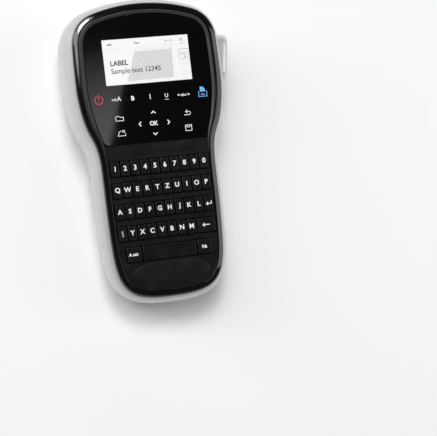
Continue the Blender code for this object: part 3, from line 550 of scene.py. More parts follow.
def skin(rings, ends="flat"):
    """A body through rings of points. Its ends are flat, strips across x, or joined to each other."""
    bm = bmesh.new()
    rows = [[bm.verts.new(p) for p in ring] for ring in rings]
    count = len(rows[0])
    pairs = list(zip(rows, rows[1:])) + ([(rows[-1], rows[0])] if ends == "loop" else [])
    for low, high in pairs:
        for i in range(count):
            j = (i + 1) % count
            bm.faces.new((low[i], low[j], high[j], high[i]))
    for row in (rows[0], rows[-1]):
        if ends == "flat":
            bm.faces.new(row)
        elif ends == "strips":
            for i in range(count // 2):
                bm.faces.new(dict.fromkeys((row[i], row[i + 1], row[-i - 1], row[-i])))
    bmesh.ops.recalc_face_normals(bm, faces=bm.faces)
    return bm


def slab(loop, low, high):
    return skin([level(loop, low), level(loop, high)])


def block(low, high):
    size = Vector(high) - Vector(low)
    middle = (Vector(high) + Vector(low)) / 2
    bm = bmesh.new()
    bmesh.ops.create_cube(bm, size=1, matrix=Matrix.Translation(middle) @ Matrix.Diagonal((*size, 1)))
    return bm


def merged(*parts):
    """Several meshes in one, each still its own body."""
    whole = bmesh.new()
    for part in parts:
        mesh = mesh_from("part", part)
        whole.from_mesh(mesh)
        bpy.data.meshes.remove(mesh)
    return whole


def crowned(loops, heights):
    """A body through plan loops at rising heights, for a top with rounded edges."""
    return skin([level(loop, z) for loop, z in zip(loops, heights)])


def ribbon(points, width, low, high, closed=False):
    """A flat line of one width, with mitred corners, between two heights."""
    bm = bmesh.new()
    count = len(points)
    points = [Vector(p) for p in points]
    rows = []
    for i, point in enumerate(points):
        before = points[i - 1] if (closed or i) else None
        after = points[(i + 1) % count] if (closed or i < count - 1) else None
        ways = [(point - before).normalized()] if before else []
        ways += [(after - point).normalized()] if after else []
        along = sum(ways, Vector((0, 0))).normalized()
        side = Vector((-along.y, along.x))
        stretch = 1 / max(0.4, side.dot(Vector((-ways[0].y, ways[0].x))))
        left, right = point + side * width / 2 * stretch, point - side * width / 2 * stretch
        corners = ((left, low), (right, low), (right, high), (left, high))
        rows.append([bm.verts.new((p.x, p.y, z)) for p, z in corners])
    pairs = list(zip(rows, rows[1:])) + ([(rows[-1], rows[0])] if closed else [])
    for one, two in pairs:
        for i in range(4):
            j = (i + 1) % 4
            bm.faces.new((one[i], one[j], two[j], two[i]))
    if not closed:
        bm.faces.new(rows[0])
        bm.faces.new(rows[-1])
    bmesh.ops.recalc_face_normals(bm, faces=bm.faces)
    return bm


def lettering(text, size, place, low, high, weight=0.0, turn=0.0, align="CENTER", squeeze=1.0):
    """Plain sans letters at a place in the plan, between two heights. A negative squeeze mirrors them."""
    curve = bpy.data.curves.new("text", "FONT")
    curve.body = text
    curve.size = size
    curve.offset = weight
    curve.extrude = (high - low) / 2
    curve.resolution_u = 3
    holder = shown("text", curve)
    bpy.context.view_layer.update()
    mesh = bpy.data.meshes.new_from_object(holder.evaluated_get(bpy.context.evaluated_depsgraph_get()))
    bm = bmesh.new()
    bm.from_mesh(mesh)
    bpy.data.objects.remove(holder)
    bpy.data.curves.remove(curve)
    bpy.data.meshes.remove(mesh)
    bmesh.ops.remove_doubles(bm, verts=bm.verts, dist=1e-7)
    xs = [v.co.x for v in bm.verts]
    ys = [v.co.y for v in bm.verts]
    anchor = {"CENTER": (min(xs) + max(xs)) / 2, "LEFT": min(xs), "RIGHT": max(xs)}[align]
    shift = Vector((-anchor, -(min(ys) + max(ys)) / 2, (low + high) / 2))
    for v in bm.verts:
        v.co = v.co + shift
        v.co.x *= squeeze
    if squeeze < 0:
        bmesh.ops.reverse_faces(bm, faces=bm.faces)
    bmesh.ops.rotate(bm, verts=bm.verts, matrix=Matrix.Rotation(math.radians(turn), 3, "Z"))
    bmesh.ops.translate(bm, verts=bm.verts, vec=(place[0], place[1], 0))
    return bm


def piece(name, bm, finish, body="root", replaces=(), angle=35):
    """A piece of the visible model, made in face axes, that rides on a body."""
    mesh = mesh_from(name, bm)
    mesh.shade_smooth()
    mesh.set_sharp_from_angle(angle=math.radians(angle))
    mesh.materials.append(M[finish])
    obj = shown(name, mesh)
    obj.matrix_world = FACE
    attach(obj, body)
    if replaces:
        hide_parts(*replaces)
    return obj


def trim(obj, bm, operation="DIFFERENCE"):
    """Applies a Boolean with another mesh in face axes."""
    mesh = mesh_from("helper", bm)
    helper = shown("helper", mesh)
    helper.matrix_world = FACE
    boolean = obj.modifiers.new("trim", "BOOLEAN")
    boolean.operation = operation
    boolean.solver = "EXACT"
    boolean.object = helper
    bpy.context.view_layer.update()
    made = bpy.data.meshes.new_from_object(obj.evaluated_get(bpy.context.evaluated_depsgraph_get()))
    obj.modifiers.clear()
    old, name = obj.data, obj.data.name
    obj.data = made
    bpy.data.meshes.remove(old)
    made.name = name
    made.shade_smooth()
    made.set_sharp_from_angle(angle=math.radians(32))
    bpy.data.objects.remove(helper)
    bpy.data.meshes.remove(mesh)


# ---------------------------------------------------------------- front


def key_places():
    first = -(KEYBOARD_GAP + KEY_LENGTH / 2)
    left = -4.5 * KEY_PITCH_X
    gap = KEY_PITCH_X - KEY_WIDTH
    side = (SPACE_BAR_WIDTH + SIDE_KEY_WIDTH) / 2 + gap
    for row, names in enumerate(KEY_ROWS):
        y = first - row * KEY_PITCH_Y
        if len(names) == 10:
            yield [(n, left + c * KEY_PITCH_X, y, KEY_WIDTH) for c, n in enumerate(names)]
        elif len(names) == 9:
            keys = [(n, left + c * KEY_PITCH_X, y, KEY_WIDTH) for c, n in enumerate(names[:-1])]
            yield keys + [(names[-1], left + 8.5 * KEY_PITCH_X, y, 2 * KEY_WIDTH + gap)]
        else:
            widths = (SIDE_KEY_WIDTH, SPACE_BAR_WIDTH, SIDE_KEY_WIDTH)
            yield list(zip(names, (-side, 0, side), (y,) * 3, widths))


def make_rim():
    """The polished edge: an outer wall, a round crown, and a fall into the groove before the bevel ring."""
    profile = [(0, -SEAM_DEPTH + GAP), (0, 0.0001), (-0.00012, 0.00040), (-0.0004, 0.00068)]
    profile += [(-0.0009, 0.00096), (-0.0014, 0.00114), (-0.0020, 0.00130), (-0.0026, 0.00144)]
    profile += [(-0.0031, 0.00154), (-0.00345, RIM_HEIGHT), (-0.0037, 0.00152), (-0.00384, 0.0012)]
    profile += [(-0.0039, 0.0006), (-0.0039, -0.0004), (-0.0039, -0.0016), (-0.0004, -SEAM_DEPTH)]
    bm = skin([level(outline(far), z) for far, z in profile], "loop")
    piece("front_rim", bm, "rim", replaces=["front_cover"])


def make_bevel_ring():
    """The satin ring between the groove and the panel. It fades out beside the keyboard."""

    def far(share):
        return lambda y: -RIM_WIDTH - 0.0001 + (deck_inset(y) + RIM_WIDTH + 0.0002) * share

    profile = [(0.0, -0.0012), (0.0, 0.0003), (0.05, 0.00052), (0.16, 0.00062), (0.42, 0.00058)]
    profile += [(0.70, 0.00046), (0.90, 0.00030), (0.985, 0.00016), (1.0, -0.0012)]
    bm = skin([level(outline(far(share)), z) for share, z in profile], "loop")
    piece("bevel_ring", bm, "bevel")


def make_deck():
    """The satin deck round the keys, with two fine grooves and a slot for each row of keys."""
    loop = outline(lambda y: deck_inset(y) + 0.0001)
    top = PANEL_BOTTOM - GAP
    right = [p for p in loop[: len(loop) // 2 + 1] if p.y < top]
    right.insert(0, Vector((right[0].x, top)))
    plan = right + [Vector((-p.x, p.y)) for p in reversed(right) if p.x > 1e-6]
    middle = Vector((0, (top + BOTTOM) / 2))
    inner = [p + (middle - p).normalized() * 0.0002 for p in plan]
    bm = crowned([plan, plan, inner], [-DECK_THICKNESS, -0.0002, 0])
    deck = piece("keyboard_deck", bm, "deck")
    for keys in key_places():
        _, first_x, y, first_width = keys[0]
        _, last_x, _, last_width = keys[-1]
        left, end = first_x - first_width / 2 - GAP, last_x + last_width / 2 + GAP
        width, length, middle = end - left, KEY_LENGTH + 2 * GAP, ((left + end) / 2, y)
        slot = rounded_rectangle(width, length, 0.0009, 3, middle)
        wide = rounded_rectangle(width + 0.0006, length + 0.0006, 0.0012, 3, middle)
        trim(deck, skin([level(slot, -0.004), level(slot, -0.0003), level(wide, 0.0001), level(wide, 0.002)]))
    half = GRIP_WIDTH / 2 - GROOVE_END
    for y in GROOVE_PLACES:
        trim(deck, block((-half, y - GROOVE_WIDTH / 2, -GROOVE_DEPTH), (half, y + GROOVE_WIDTH / 2, 0.001)))


def make_heel_pad():
    """The shallow lens below the space bar."""

    def lens(width, height):
        points = []
        for k in range(72):
            turn = 2 * math.pi * k / 72
            x = width * math.copysign(abs(math.cos(turn)) ** PAD_SQUARENESS, math.cos(turn))
            points.append(Vector((x, PAD_MIDDLE + height * math.sin(turn))))
        return points

    bm = crowned([lens(w, h) for w, h, _ in PAD_STEPS], [z for _, _, z in PAD_STEPS])
    piece("heel_pad", bm, "pad")


def make_panel():
    """The polished sheet in the head, with the display's opening."""
    edge = 0.00018
    bm = crowned(
        [panel_outline(0), panel_outline(0), panel_outline(-edge)],
        [PANEL_PROUD - PANEL_THICKNESS, PANEL_PROUD - edge, PANEL_PROUD],
    )
    panel = piece("panel_sheet", bm, "panel", replaces=["control_panel"])
    window = rounded_rectangle(DISPLAY_WIDTH + GAP, DISPLAY_HEIGHT + GAP, 0.0005, 3, (0, DISPLAY_Y))
    trim(panel, slab(window, -0.003, 0.003))


def mark(name, parts, finish):
    piece(name, merged(*parts), finish, angle=20)


def lines(paths, width, low=INK_LOW, high=INK_HIGH):
    """Ribbons from paths in millimetres. A path that ends where it starts is closed."""
    made = []
    for path in paths:
        closed = path[0] == path[-1] and len(path) > 3
        points = [(x * MM, y * MM) for x, y in (path[:-1] if closed else path)]
        made.append(ribbon(points, width * MM, low, high, closed))
    return made


def arc(x, y, radius, start, end, steps=20):
    turns = [math.radians(start + (end - start) * k / steps) for k in range(steps + 1)]
    return [(x + radius * math.cos(a), y + radius * math.sin(a)) for a in turns]


def frame_path(x, y, width, height):
    a, b = width / 2, height / 2
    return [(x - a, y - b), (x + a, y - b), (x + a, y + b), (x - a, y + b), (x - a, y - b)]


def word(text, size, x, y, weight=0.0, turn=0.0, align="CENTER", squeeze=1.0, low=INK_LOW, high=INK_HIGH):
    return lettering(text, size * MM, (x * MM, y * MM), low, high, weight * MM, turn, align, squeeze)


def make_panel_marks():
    """The printed symbols of the touch panel, in millimetres of face axes."""
    power = lines([arc(-37.2, 32.1, 2.75, 112, 428, 34), [(-37.2, 32.0), (-37.2, 36.0)]], 0.46)
    mark("mark_power", power, "red")

    style = [word("A", 2.2, -27.6, 31.4, 0.03), word("A", 3.0, -25.7, 31.6, 0.04)]
    style += [word("A", 4.2, -23.0, 32.0, 0.05)]
    style += [word("B", 4.2, -13.3, 31.6, 0.16), word("U", 3.8, 10.7, 31.6, 0.04)]
    style += lines([[(-1.0, 29.9), (-1.0, 33.4)]], 0.55) + lines([[(9.3, 28.8), (12.1, 28.8)]], 0.32)
    tips = [[(19.8, 31.8), (18.8, 31.1), (19.8, 30.4)], [(26.3, 31.8), (27.3, 31.1), (26.3, 30.4)]]
    style += lines(tips, 0.36)
    style += lines([[(19.5, 31.1), (20.9, 31.1)], [(25.2, 31.1), (26.6, 31.1)]], 0.36)
    style += [word("abc", 2.7, 23.0, 31.1, 0.05)]
    mark("mark_styles", style, "white")

    arrows = [[(-1.5, 20.0), (0.0, 21.4), (1.5, 20.0)], [(-1.6, 6.6), (-0.1, 5.2), (1.4, 6.6)]]
    arrows += [[(-9.5, 14.9), (-10.9, 13.4), (-9.5, 11.9)], [(9.4, 14.6), (10.8, 13.1), (9.4, 11.6)]]
    mark("mark_cursor", lines(arrows, 0.72) + [word("OK", 4.1, -0.4, 13.2, 0.15, squeeze=0.92)], "white")

    folder = [[(-26.9, 16.9), (-26.9, 19.6), (-24.9, 20.2), (-23.6, 19.2), (-21.5, 19.2), (-21.5, 16.9)]]
    folder[0].append(folder[0][0])
    insert = [[(-26.6, 6.5), (-25.5, 9.2), (-23.9, 10.0)], [(-26.6, 6.5), (-21.2, 6.5), (-21.2, 8.2)]]
    insert += [arc(-22.4, 9.5, 0.75, 0, 360, 12)]
    back = [[(21.7, 16.9), (25.6, 16.9)], arc(25.4, 18.0, 1.1, -80, 90, 8), [(25.4, 19.1), (23.2, 19.1)]]
    back += [[(24.3, 20.2), (23.0, 19.1), (24.3, 18.0)]]
    save = [frame_path(24.0, 7.8, 4.4, 3.9), [(22.9, 9.6), (22.9, 8.4), (25.1, 8.4), (25.1, 9.6)]]
    mark("mark_files", lines(folder + insert + back + save, 0.42), "white")

    corners = ((35.2, 32.0), (38.7, 32.0), (38.7, 33.9), (37.2, 35.6), (35.2, 35.6))
    sheet = [Vector((x * MM, y * MM)) for x, y in corners]
    slot = [[(34.6, 32.4), (34.0, 32.0), (34.0, 28.7), (39.9, 28.7), (39.9, 32.0), (39.3, 32.4)]]
    tray = lines(slot, 0.48) + lines([[(35.6, 30.2), (38.3, 30.2)]], 0.62)
    mark("mark_print", [slab(sheet, INK_LOW, INK_HIGH)] + tray, "blue")


def make_display():
    """The display shows a menu bar, two lines of text over a slanting grey patch, and small icons beside it.
    """
    top = PANEL_PROUD - 0.00008
    pane = rounded_rectangle(DISPLAY_WIDTH, DISPLAY_HEIGHT, 0.0004, 3, (0, DISPLAY_Y))
    inner = rounded_rectangle(DISPLAY_WIDTH - 0.0002, DISPLAY_HEIGHT - 0.0002, 0.0003, 3, (0, DISPLAY_Y))
    bm = crowned([pane, pane, inner], [PANEL_PROUD - PANEL_THICKNESS, top - 0.0001, top])
    piece("display_face", bm, "lcd", replaces=["display_window"])
    low, high = top - 0.00001, top + 0.00002
    y0 = DISPLAY_Y / MM

    def at(points):
        return [Vector((x * MM, (y + y0) * MM)) for x, y in points]

    # A slanting four-sided grey patch, laid flat on the display face under part of the text.
    area = slab(at([(-8.5, 6.4), (-15.3, -13.5), (17.6, -13.2), (18.2, 6.7)]), low, high)
    mark("display_grey_patch", [area], "lcd_grey")
    low, high = high - 0.00001, high + 0.00002

    def note(text, size, x, y, weight=0.0, squeeze=1.0):
        return word(text, size, x, y + y0, weight, 0.0, "LEFT", squeeze, low, high)

    dark = [note("LABEL", 4.9, -26.2, -0.6, 0.12, 0.95)]
    dark += [note("Sample text 12345", 5.0, -26.2, -6.6, 0.03, 0.94)]
    dark += [note("ABC", 1.9, -27.4, 12.3, 0.04), note("Text", 1.9, -8.0, 12.3, 0.04)]
    mark("display_text", dark, "lcd_dark")
    small = [note("Aa", 1.9, 13.6, 12.5, 0.04), note("12", 2.0, 17.4, 12.5, 0.04)]
    small += [note("12", 2.6, 24.6, 12.6, 0.10)]
    for x, y, width, height in ((26.4, 4.6, 7.0, 2.7), (26.5, 0.5, 7.0, 2.8)):
        small += lines([frame_path(x, y + y0, width, height)], 0.22, low, high)
    small += [note("1", 1.7, 25.2, 4.6, 0.03), note("A", 1.9, 26.5, 0.5, 0.08)]
    small += lines([[(24.6, 10.3 + y0), (26.0, 9.6 + y0), (28.4, 10.4 + y0)]], 0.35, low, high)
    mark("display_icons", small, "lcd_mid")
    faint = []
    for x, width in ((-22.0, 10.5), (-4.6, 5.6), (2.4, 5.6), (9.4, 5.6), (16.2, 5.0)):
        faint += lines([frame_path(x, 8.6 + y0, width, 2.1)], 0.16, low, high)
    boxes = [frame_path(26.6, -3.4 + y0, 7.0, 2.4), frame_path(26.9, -10.8 + y0, 5.6, 2.6)]
    faint += lines(boxes, 0.18, low, high)
    mark("display_faint", faint, "lcd_grey")


LEGENDS = {
    "enter": [[(1.9, 1.5), (1.9, -0.4), (-1.5, -0.4)], [(-0.5, 0.7), (-1.7, -0.4), (-0.5, -1.5)]],
    "delete": [[(2.6, 0.0), (-2.4, 0.0)], [(-1.2, 1.2), (-2.5, 0.0), (-1.2, -1.2)]],
}


def key_legend(name, x, y):
    """The printed legend of a key, just above its top."""
    heights = {"low": KEY_PROUD - 0.00001, "high": KEY_PROUD + 0.00003}
    x, y = x / MM, y / MM
    if name in LEGENDS:
        return lines([[(px + x, py + y) for px, py in path] for path in LEGENDS[name]], 0.6, **heights)
    if name == "space":
        return []
    if name == "caps":
        return [word("CAPS", 1.75, x + 0.1, y, 0.07, 90, **heights)]
    if name == "accent":
        small = word("áèñ", 2.6, x + 0.9, y, 0.08, **heights)
        return [word("A", 3.0, x - 2.7, y + 0.1, 0.12, **heights), small]
    if name == "symbols":
        return [word("!?&", 3.0, x, y, 0.10, **heights)]
    return [word(name.upper(), 4.7 if name.isdigit() else 4.5, x, y + 0.3, 0.13, **heights)]


def make_key(name, x, y, width):
    """A key with a rounded top edge and a slightly dished face."""

    def plan(inset):
        radius = max(0.0003, KEY_CORNER - inset * 0.6)
        return rounded_rectangle(width - 2 * inset, KEY_LENGTH - 2 * inset, radius, 4, (x, y))

    rings = [(KEY_WALL, KEY_PROUD - 0.0012), (KEY_WALL, -KEY_SKIRT), (0, -KEY_SKIRT), (0, 0.0)]
    for k in range(6):
        angle = math.radians(90 * k / 5)
        rings.append((KEY_EDGE * (1 - math.cos(angle)), KEY_PROUD - KEY_EDGE + KEY_EDGE * math.sin(angle)))
    rings += [(0.0010, KEY_PROUD), (0.0016, KEY_PROUD - 0.00003), (0.0024, KEY_PROUD - 0.00005)]
    bm = skin([level(plan(inset), z) for inset, z in rings])
    body = "key_" + name
    piece("cap_" + name, bm, "key", body, [body], 40)
    legend = key_legend(name, x, y)
    if legend:
        finish = "dim" if name == "caps" else "white"
        piece("legend_" + name, merged(*legend), finish, body, angle=20)


# ---------------------------------------------------------------- rear


def smooth_profile(fine=5):
    """The shell's profile with more points, on a curve through the CAD's own."""
    tall = 0.05
    knots = [Vector((share * tall, far)) for share, far in SHELL_PROFILE]
    knots = [2 * knots[0] - knots[1]] + knots + [Vector((tall, knots[-1].y - 0.006))]
    points = []
    for a, b, c, d in zip(knots, knots[1:], knots[2:], knots[3:]):
        for k in range(fine):
            t = k / fine
            bend, twist = 2 * a - 5 * b + 4 * c - d, 3 * b - a - 3 * c + d
            point = 0.5 * (2 * b + (c - a) * t + bend * t**2 + twist * t**3)
            points.append((min(1.0, max(0.0, point.x / tall)), min(FLARE, point.y)))
    return points + [SHELL_PROFILE[-1]]


def shell():
    """The rear shell, closed, with its wall."""
    start = SEAM_DEPTH + GAP

    def loop_at(share, far, wall):
        loop = outline(far - wall)
        return [Vector((p.x, p.y, -(start + (back_depth(p.y) - wall - start) * share))) for p in loop]

    outside = [loop_at(share, far, 0) for share, far in reversed(smooth_profile())]
    inside = [loop_at(share, far, WALL) for share, far in SHELL_PROFILE]
    return skin(outside + inside, "strips")


def door_region(grow):
    half = DOOR_WIDTH / 2 + grow
    deep = back_plane(DOOR_TOP) + 0.010
    shallow = back_plane(DOOR_TOP - DOOR_LENGTH) - 3 * WALL
    plan = rounded_rectangle(2 * half, DOOR_LENGTH + 2 * grow, 0.003, 4, (0, DOOR_TOP - DOOR_LENGTH / 2))
    return slab(plan, -deep, -shallow)


def battery_region(grow):
    half = BATTERY_DOOR_WIDTH / 2 + grow
    return block(
        (-half, BOTTOM - 0.020, -back_plane(0) - 0.010),
        (half, BATTERY_DOOR_TOP + grow, -BATTERY_DOOR_DEPTH + grow),
    )


def cut_into_back(obj, loop, y, depth):
    """A recess of one depth, measured at y."""
    trim(obj, slab(loop, on_back(y) - CUT_BELOW, on_back(y) + depth))


def button_bar(x_low, x_high, grow):
    section = rounded_rectangle(BUTTON_LENGTH + 2 * grow, BUTTON_HEIGHT + 2 * grow, BUTTON_ROUND + grow, 8)
    plan = [Vector((0, BUTTON_Y + p.x, -BUTTON_DEPTH + p.y)) for p in section]
    return skin([[Vector((x, p.y, p.z)) for p in plan] for x in (x_low, x_high)])


def on_back(y):
    """The height of the back at y, in face axes."""
    return -back_depth(y)


def make_rear():
    """The silver shell, open for both doors, the label exit, the button and four screws."""
    cover = piece("rear_shell", shell(), "silver", replaces=["rear_cover"])
    trim(cover, door_region(GAP))
    trim(cover, battery_region(GAP))
    exit_z = exit_height()
    low = (-EXIT_WIDTH / 2, TOP - 0.008, exit_z - EXIT_LENGTH / 2)
    trim(cover, block(low, (EXIT_WIDTH / 2, TOP + 0.008, exit_z + EXIT_LENGTH / 2)))
    trim(cover, button_bar(HEAD_WIDTH / 2 - 0.012, HEAD_WIDTH / 2 + 0.012, GAP))
    for number, (x, y) in enumerate(SCREWS, 1):
        cut_into_back(cover, circle(0.0028, 32, (x, y)), y, SCREW_WELL)
        make_screw(number, x, y)


def exit_height():
    """The height of the label exit's middle, from the middle of the feed roller's sleeve."""
    low, _ = node_box("feed_roller")
    return low.z + EXIT_LENGTH / 2


def make_screw(number, x, y):
    """A countersunk screw with a cross recess, at the bottom of its well."""
    floor = on_back(y) + 0.0012
    profile = ((0.0022, 0.0), (0.0024, -0.0003), (0.0023, -0.0006), (0.0016, -0.00075))
    head = [level(circle(radius, 28, (x, y)), floor + z) for radius, z in profile]
    screw = piece(f"screw_{number}", skin(head), "screw")
    for wide, long in ((0.0014, 0.00028), (0.00028, 0.0014)):
        trim(screw, block((x - wide, y - long, floor - 0.002), (x + wide, y + long, floor - 0.0004)))


def make_doors():
    """The cassette door and the battery door, cut from the same shell, with finger grips."""
    door = piece("cassette_lid", shell(), "silver", "cassette_door", ["cassette_door"])
    trim(door, door_region(0), "INTERSECT")
    y = DOOR_TOP - 0.0065
    for k in range(4):
        notch = rounded_rectangle(0.0200 - 0.0024 * k, 0.0009, 0.00044, 4, (0, y - 0.0020 * k))
        cut_into_back(door, notch, y, NOTCH_DEPTH)
    lid = piece("battery_lid", shell(), "silver", "battery_door", ["battery_door"])
    trim(lid, battery_region(0), "INTERSECT")
    y = BATTERY_DOOR_TOP - 0.0120
    for k in range(6):
        place = y - 0.0022 * k
        notch = rounded_rectangle(0.0240, 0.0010, 0.00048, 4, (0, place))
        cut_into_back(lid, notch, place, NOTCH_DEPTH)
    tip = y - 0.0022 * 6 - 0.0036
    arrow = [Vector(p) for p in ((-0.0036, tip + 0.0034), (0.0036, tip + 0.0034), (0, tip))]
    cut_into_back(lid, arrow, tip, NOTCH_DEPTH)


def make_button():
    """The cutter button: a bar that tapers towards the grip, with round outer edges and a shallow dish."""
    inner = HEAD_WIDTH / 2 - WALL - 0.0070 + FLARE
    outer = HEAD_WIDTH / 2 + FLARE + BUTTON_PROUD
    soft = BUTTON_SOFTENING
    rings = [(inner, 0.0)]
    for k in range(9):
        angle = math.radians(90 * k / 8)
        rings.append((outer - soft + soft * math.sin(angle), soft * (1 - math.cos(angle))))
    rings += [(outer - 0.00010, 0.0058), (outer - 0.00030, 0.0068)]
    loops = []
    for x, inset in rings:
        radius = max(0.0006, BUTTON_ROUND - inset)
        section = rounded_rectangle(BUTTON_LENGTH - 2 * inset, BUTTON_HEIGHT - 2 * inset, radius, 10)
        slope = 0 if x == inner else BUTTON_FALL / BUTTON_LENGTH
        tapered = []
        for p in section:
            place = (x + slope * (p.x - BUTTON_LENGTH / 2), BUTTON_Y + p.x, -BUTTON_DEPTH + p.y)
            tapered.append(Vector(place))
        loops.append(tapered)
    piece("button_cap", skin(loops), "button", "cutter", ["cutter_button"], 40)


# ---------------------------------------------------------------- inside


def node_box(name):
    """The corners of a CAD node's own box, in face axes."""
    back = FACE.inverted()
    points = [back @ v.co for v in frame["nodes"][name].data.vertices]
    low = Vector([min(p[i] for p in points) for i in range(3)])
    return low, Vector([max(p[i] for p in points) for i in range(3)])


def ring(centre, outer, inner_loop, low, high):
    """A flat ring between a circle and another loop with as many points."""
    rim = circle(outer, len(inner_loop), centre)
    return skin([level(rim, low), level(rim, high), level(inner_loop, high), level(inner_loop, low)], "loop")


def toothed(centre, outer, inner, teeth):
    """The hole of a spool hub, with square teeth that point inwards."""
    radii = (outer, outer, inner, inner)
    points = []
    for k in range(teeth * 4):
        turn = 2 * math.pi * (k + (0.25 if k % 2 else -0.25)) / (teeth * 4)
        radius = radii[k % 4]
        points.append(Vector((centre[0] + radius * math.cos(turn), centre[1] + radius * math.sin(turn))))
    return points


def stepped_box(rings, width, length, corner, middle):
    """A body through round-cornered plans, each given by its inset and its height."""
    plans = [
        rounded_rectangle(width - 2 * inset, length - 2 * inset, corner - inset, 6, (middle.x, middle.y))
        for inset, _ in rings
    ]
    return crowned(plans, [z for _, z in rings])


def make_cassette():
    """The label cassette: two half shells with a parting groove, both spools, and a size label."""
    low, high = node_box("label_cassette")
    middle = (low + high) / 2
    groove = 0.0003
    rings = [(0.0008, low.z), (0.0002, low.z + 0.0003), (0, low.z + 0.0008), (0, middle.z - groove)]
    rings += [(groove, middle.z - groove / 2), (groove, middle.z + groove / 2), (0, middle.z + groove)]
    rings += [(0, high.z - 0.0008), (0.0008, high.z)]
    bm = stepped_box(rings, high.x - low.x, high.y - low.y, 0.005, middle)
    case = piece("cassette_case", bm, "cassette", replaces=["label_cassette"])
    for name, x, y, radius in SPOOLS:
        centre = (middle.x + x, middle.y + y)
        wide = circle(radius + 0.0005, 64, centre)
        straight = circle(radius, 64, centre)
        well = [level(wide, low.z - 0.001), level(wide, low.z), level(straight, low.z + 0.0005)]
        trim(case, skin(well + [level(straight, low.z + SPOOL_DEPTH)]))
        roll = circle(HUB_RADIUS + 0.0002, 64, centre)
        body = ring(centre, radius - 0.0005, roll, low.z + 0.0012, low.z + SPOOL_DEPTH - 0.0002)
        piece("roll_" + name, body, "tape" if name == "tape" else "ribbon")
        hole = toothed(centre, HUB_RADIUS * 0.72, HUB_RADIUS * 0.50, 6)
        hub = ring(centre, HUB_RADIUS, hole, low.z + 0.0006, low.z + SPOOL_DEPTH - 0.0001)
        piece("hub_" + name, hub, "bay")
    place = (middle.x, low.y + LABEL_SIZE[1] / 2 + 0.0030)
    sheet = rounded_rectangle(*LABEL_SIZE, 0.001, 4, place)
    trim(case, slab(sheet, low.z - 0.001, low.z + LABEL_RECESS))
    inner = rounded_rectangle(LABEL_SIZE[0] - 0.0004, LABEL_SIZE[1] - 0.0004, 0.001, 4, place)
    sheet = slab(inner, low.z + 0.0001, low.z + LABEL_RECESS)
    piece("cassette_label", sheet, "tape", angle=20)
    size = lettering("12 mm", 0.0055, place, low.z + 0.00006, low.z + 0.00012, 0.00006, squeeze=-1.0)
    piece("cassette_size", size, "lcd_dark", angle=20)


def make_battery():
    """The battery pack: a shrink-wrapped block with a pale label and three contacts."""
    low, high = node_box("battery_pack")
    middle = (low + high) / 2
    soft = 0.0016
    angles = [math.radians(15 * k) for k in range(7)]
    steps = [(soft * (1 - math.sin(a)), soft * (1 - math.cos(a))) for a in angles]
    rings = [(inset, low.z + up) for inset, up in steps]
    rings += [(inset, high.z - up) for inset, up in reversed(steps)]
    bm = stepped_box(rings, high.x - low.x, high.y - low.y, 0.003, middle)
    case = piece("battery_case", bm, "battery", replaces=["battery_pack"])
    place = (middle.x, middle.y - 0.004)
    sheet = rounded_rectangle(*BATTERY_LABEL, 0.0015, 4, place)
    trim(case, slab(sheet, low.z - 0.001, low.z + 0.0001))
    inner = rounded_rectangle(BATTERY_LABEL[0] - 0.0004, BATTERY_LABEL[1] - 0.0004, 0.0014, 4, place)
    piece("battery_label", slab(inner, low.z + 0.00003, low.z + 0.0001), "tape", angle=20)
    words = []
    for text, size, up, weight in (("BATTERY", 0.0052, 0.004, 0.00006), ("rechargeable", 0.0040, -0.004, 0)):
        spot = (place[0], place[1] + up)
        words.append(lettering(text, size, spot, low.z + 0.00001, low.z + 0.00005, weight, squeeze=-1.0))
    piece("battery_text", merged(*words), "lcd_dark", angle=20)
    wide, long = CONTACT_SIZE
    spots = [(middle.x + x, high.y - CONTACT_FROM_END) for x in (-CONTACT_PITCH, 0, CONTACT_PITCH)]
    for spot in spots:
        trim(case, slab(rounded_rectangle(wide, long, 0.0006, 3, spot), low.z - 0.001, low.z + 0.0003))
    pads = [rounded_rectangle(wide - 0.0004, long - 0.0004, 0.0005, 3, spot) for spot in spots]
    contacts = merged(*(slab(pad, low.z + 0.0001, low.z + 0.0003) for pad in pads))
    piece("battery_contacts", contacts, "brass", angle=20)


def make_exit_throat():
    """A dark sleeve in the slot that the label leaves by."""
    z = exit_height()
    gap, wall = 0.0001, 0.0005

    def loop(inset, y):
        section = rounded_rectangle(EXIT_WIDTH - 2 * inset, EXIT_LENGTH - 2 * inset, 0.0004, 2)
        return [Vector((p.x, y, z + p.y)) for p in section]

    inner, outer = TOP - 0.0020, TOP + 0.0012
    rings = [loop(gap, inner), loop(gap, outer), loop(gap + wall, outer), loop(gap + wall, inner)]
    piece("exit_throat", skin(rings, "loop"), "bay")


CARRIED = {
    "display_module": "glass",
    "keypad_mat": "mat",
    "main_board": "board",
    "cassette_bay": "bay",
    "print_head": "steel",
    "feed_roller": "rubber",
    "feed_motor": "steel",
    "motor_pinion": "brass",
    "cutter_blade": "steel",
}


def finish_carried_nodes():
    """Materials for the CAD parts that are shown as they are."""
    for name, finish in CARRIED.items():
        node = frame["nodes"][name]
        node.data.materials.clear()
        node.data.materials.append(M[finish])
    low, high = node_box("feed_roller")
    axis = (low + high) / 2
    gear = node_box("motor_pinion")[0].z - GAP
    paint("feed_roller", "gear", lambda p: p.z > gear)

    def on_shaft(p):
        return p.z <= gear and math.hypot(p.x - axis.x, p.y - axis.y) < SHAFT_REACH

    paint("feed_roller", "steel", on_shaft)
    cap = node_box("feed_motor")[1].z - MOTOR_CAP
    paint("feed_motor", "bay", lambda p: p.z > cap)
    low, high = node_box("cutter_blade")
    paint("cutter_blade", "bay", lambda p: p.y < high.y - BLADE_REAR or p.x > low.x + BLADE_REACH)


def paint(name, finish, chosen):
    """Gives some faces of a carried-over part a second finish, chosen by their middle in face axes."""
    mesh = frame["nodes"][name].data
    mesh.materials.append(M[finish])
    back = FACE.inverted()
    for face in mesh.polygons:
        if chosen(back @ face.center):
            face.material_index = len(mesh.materials) - 1


# ---------------------------------------------------------------- studio


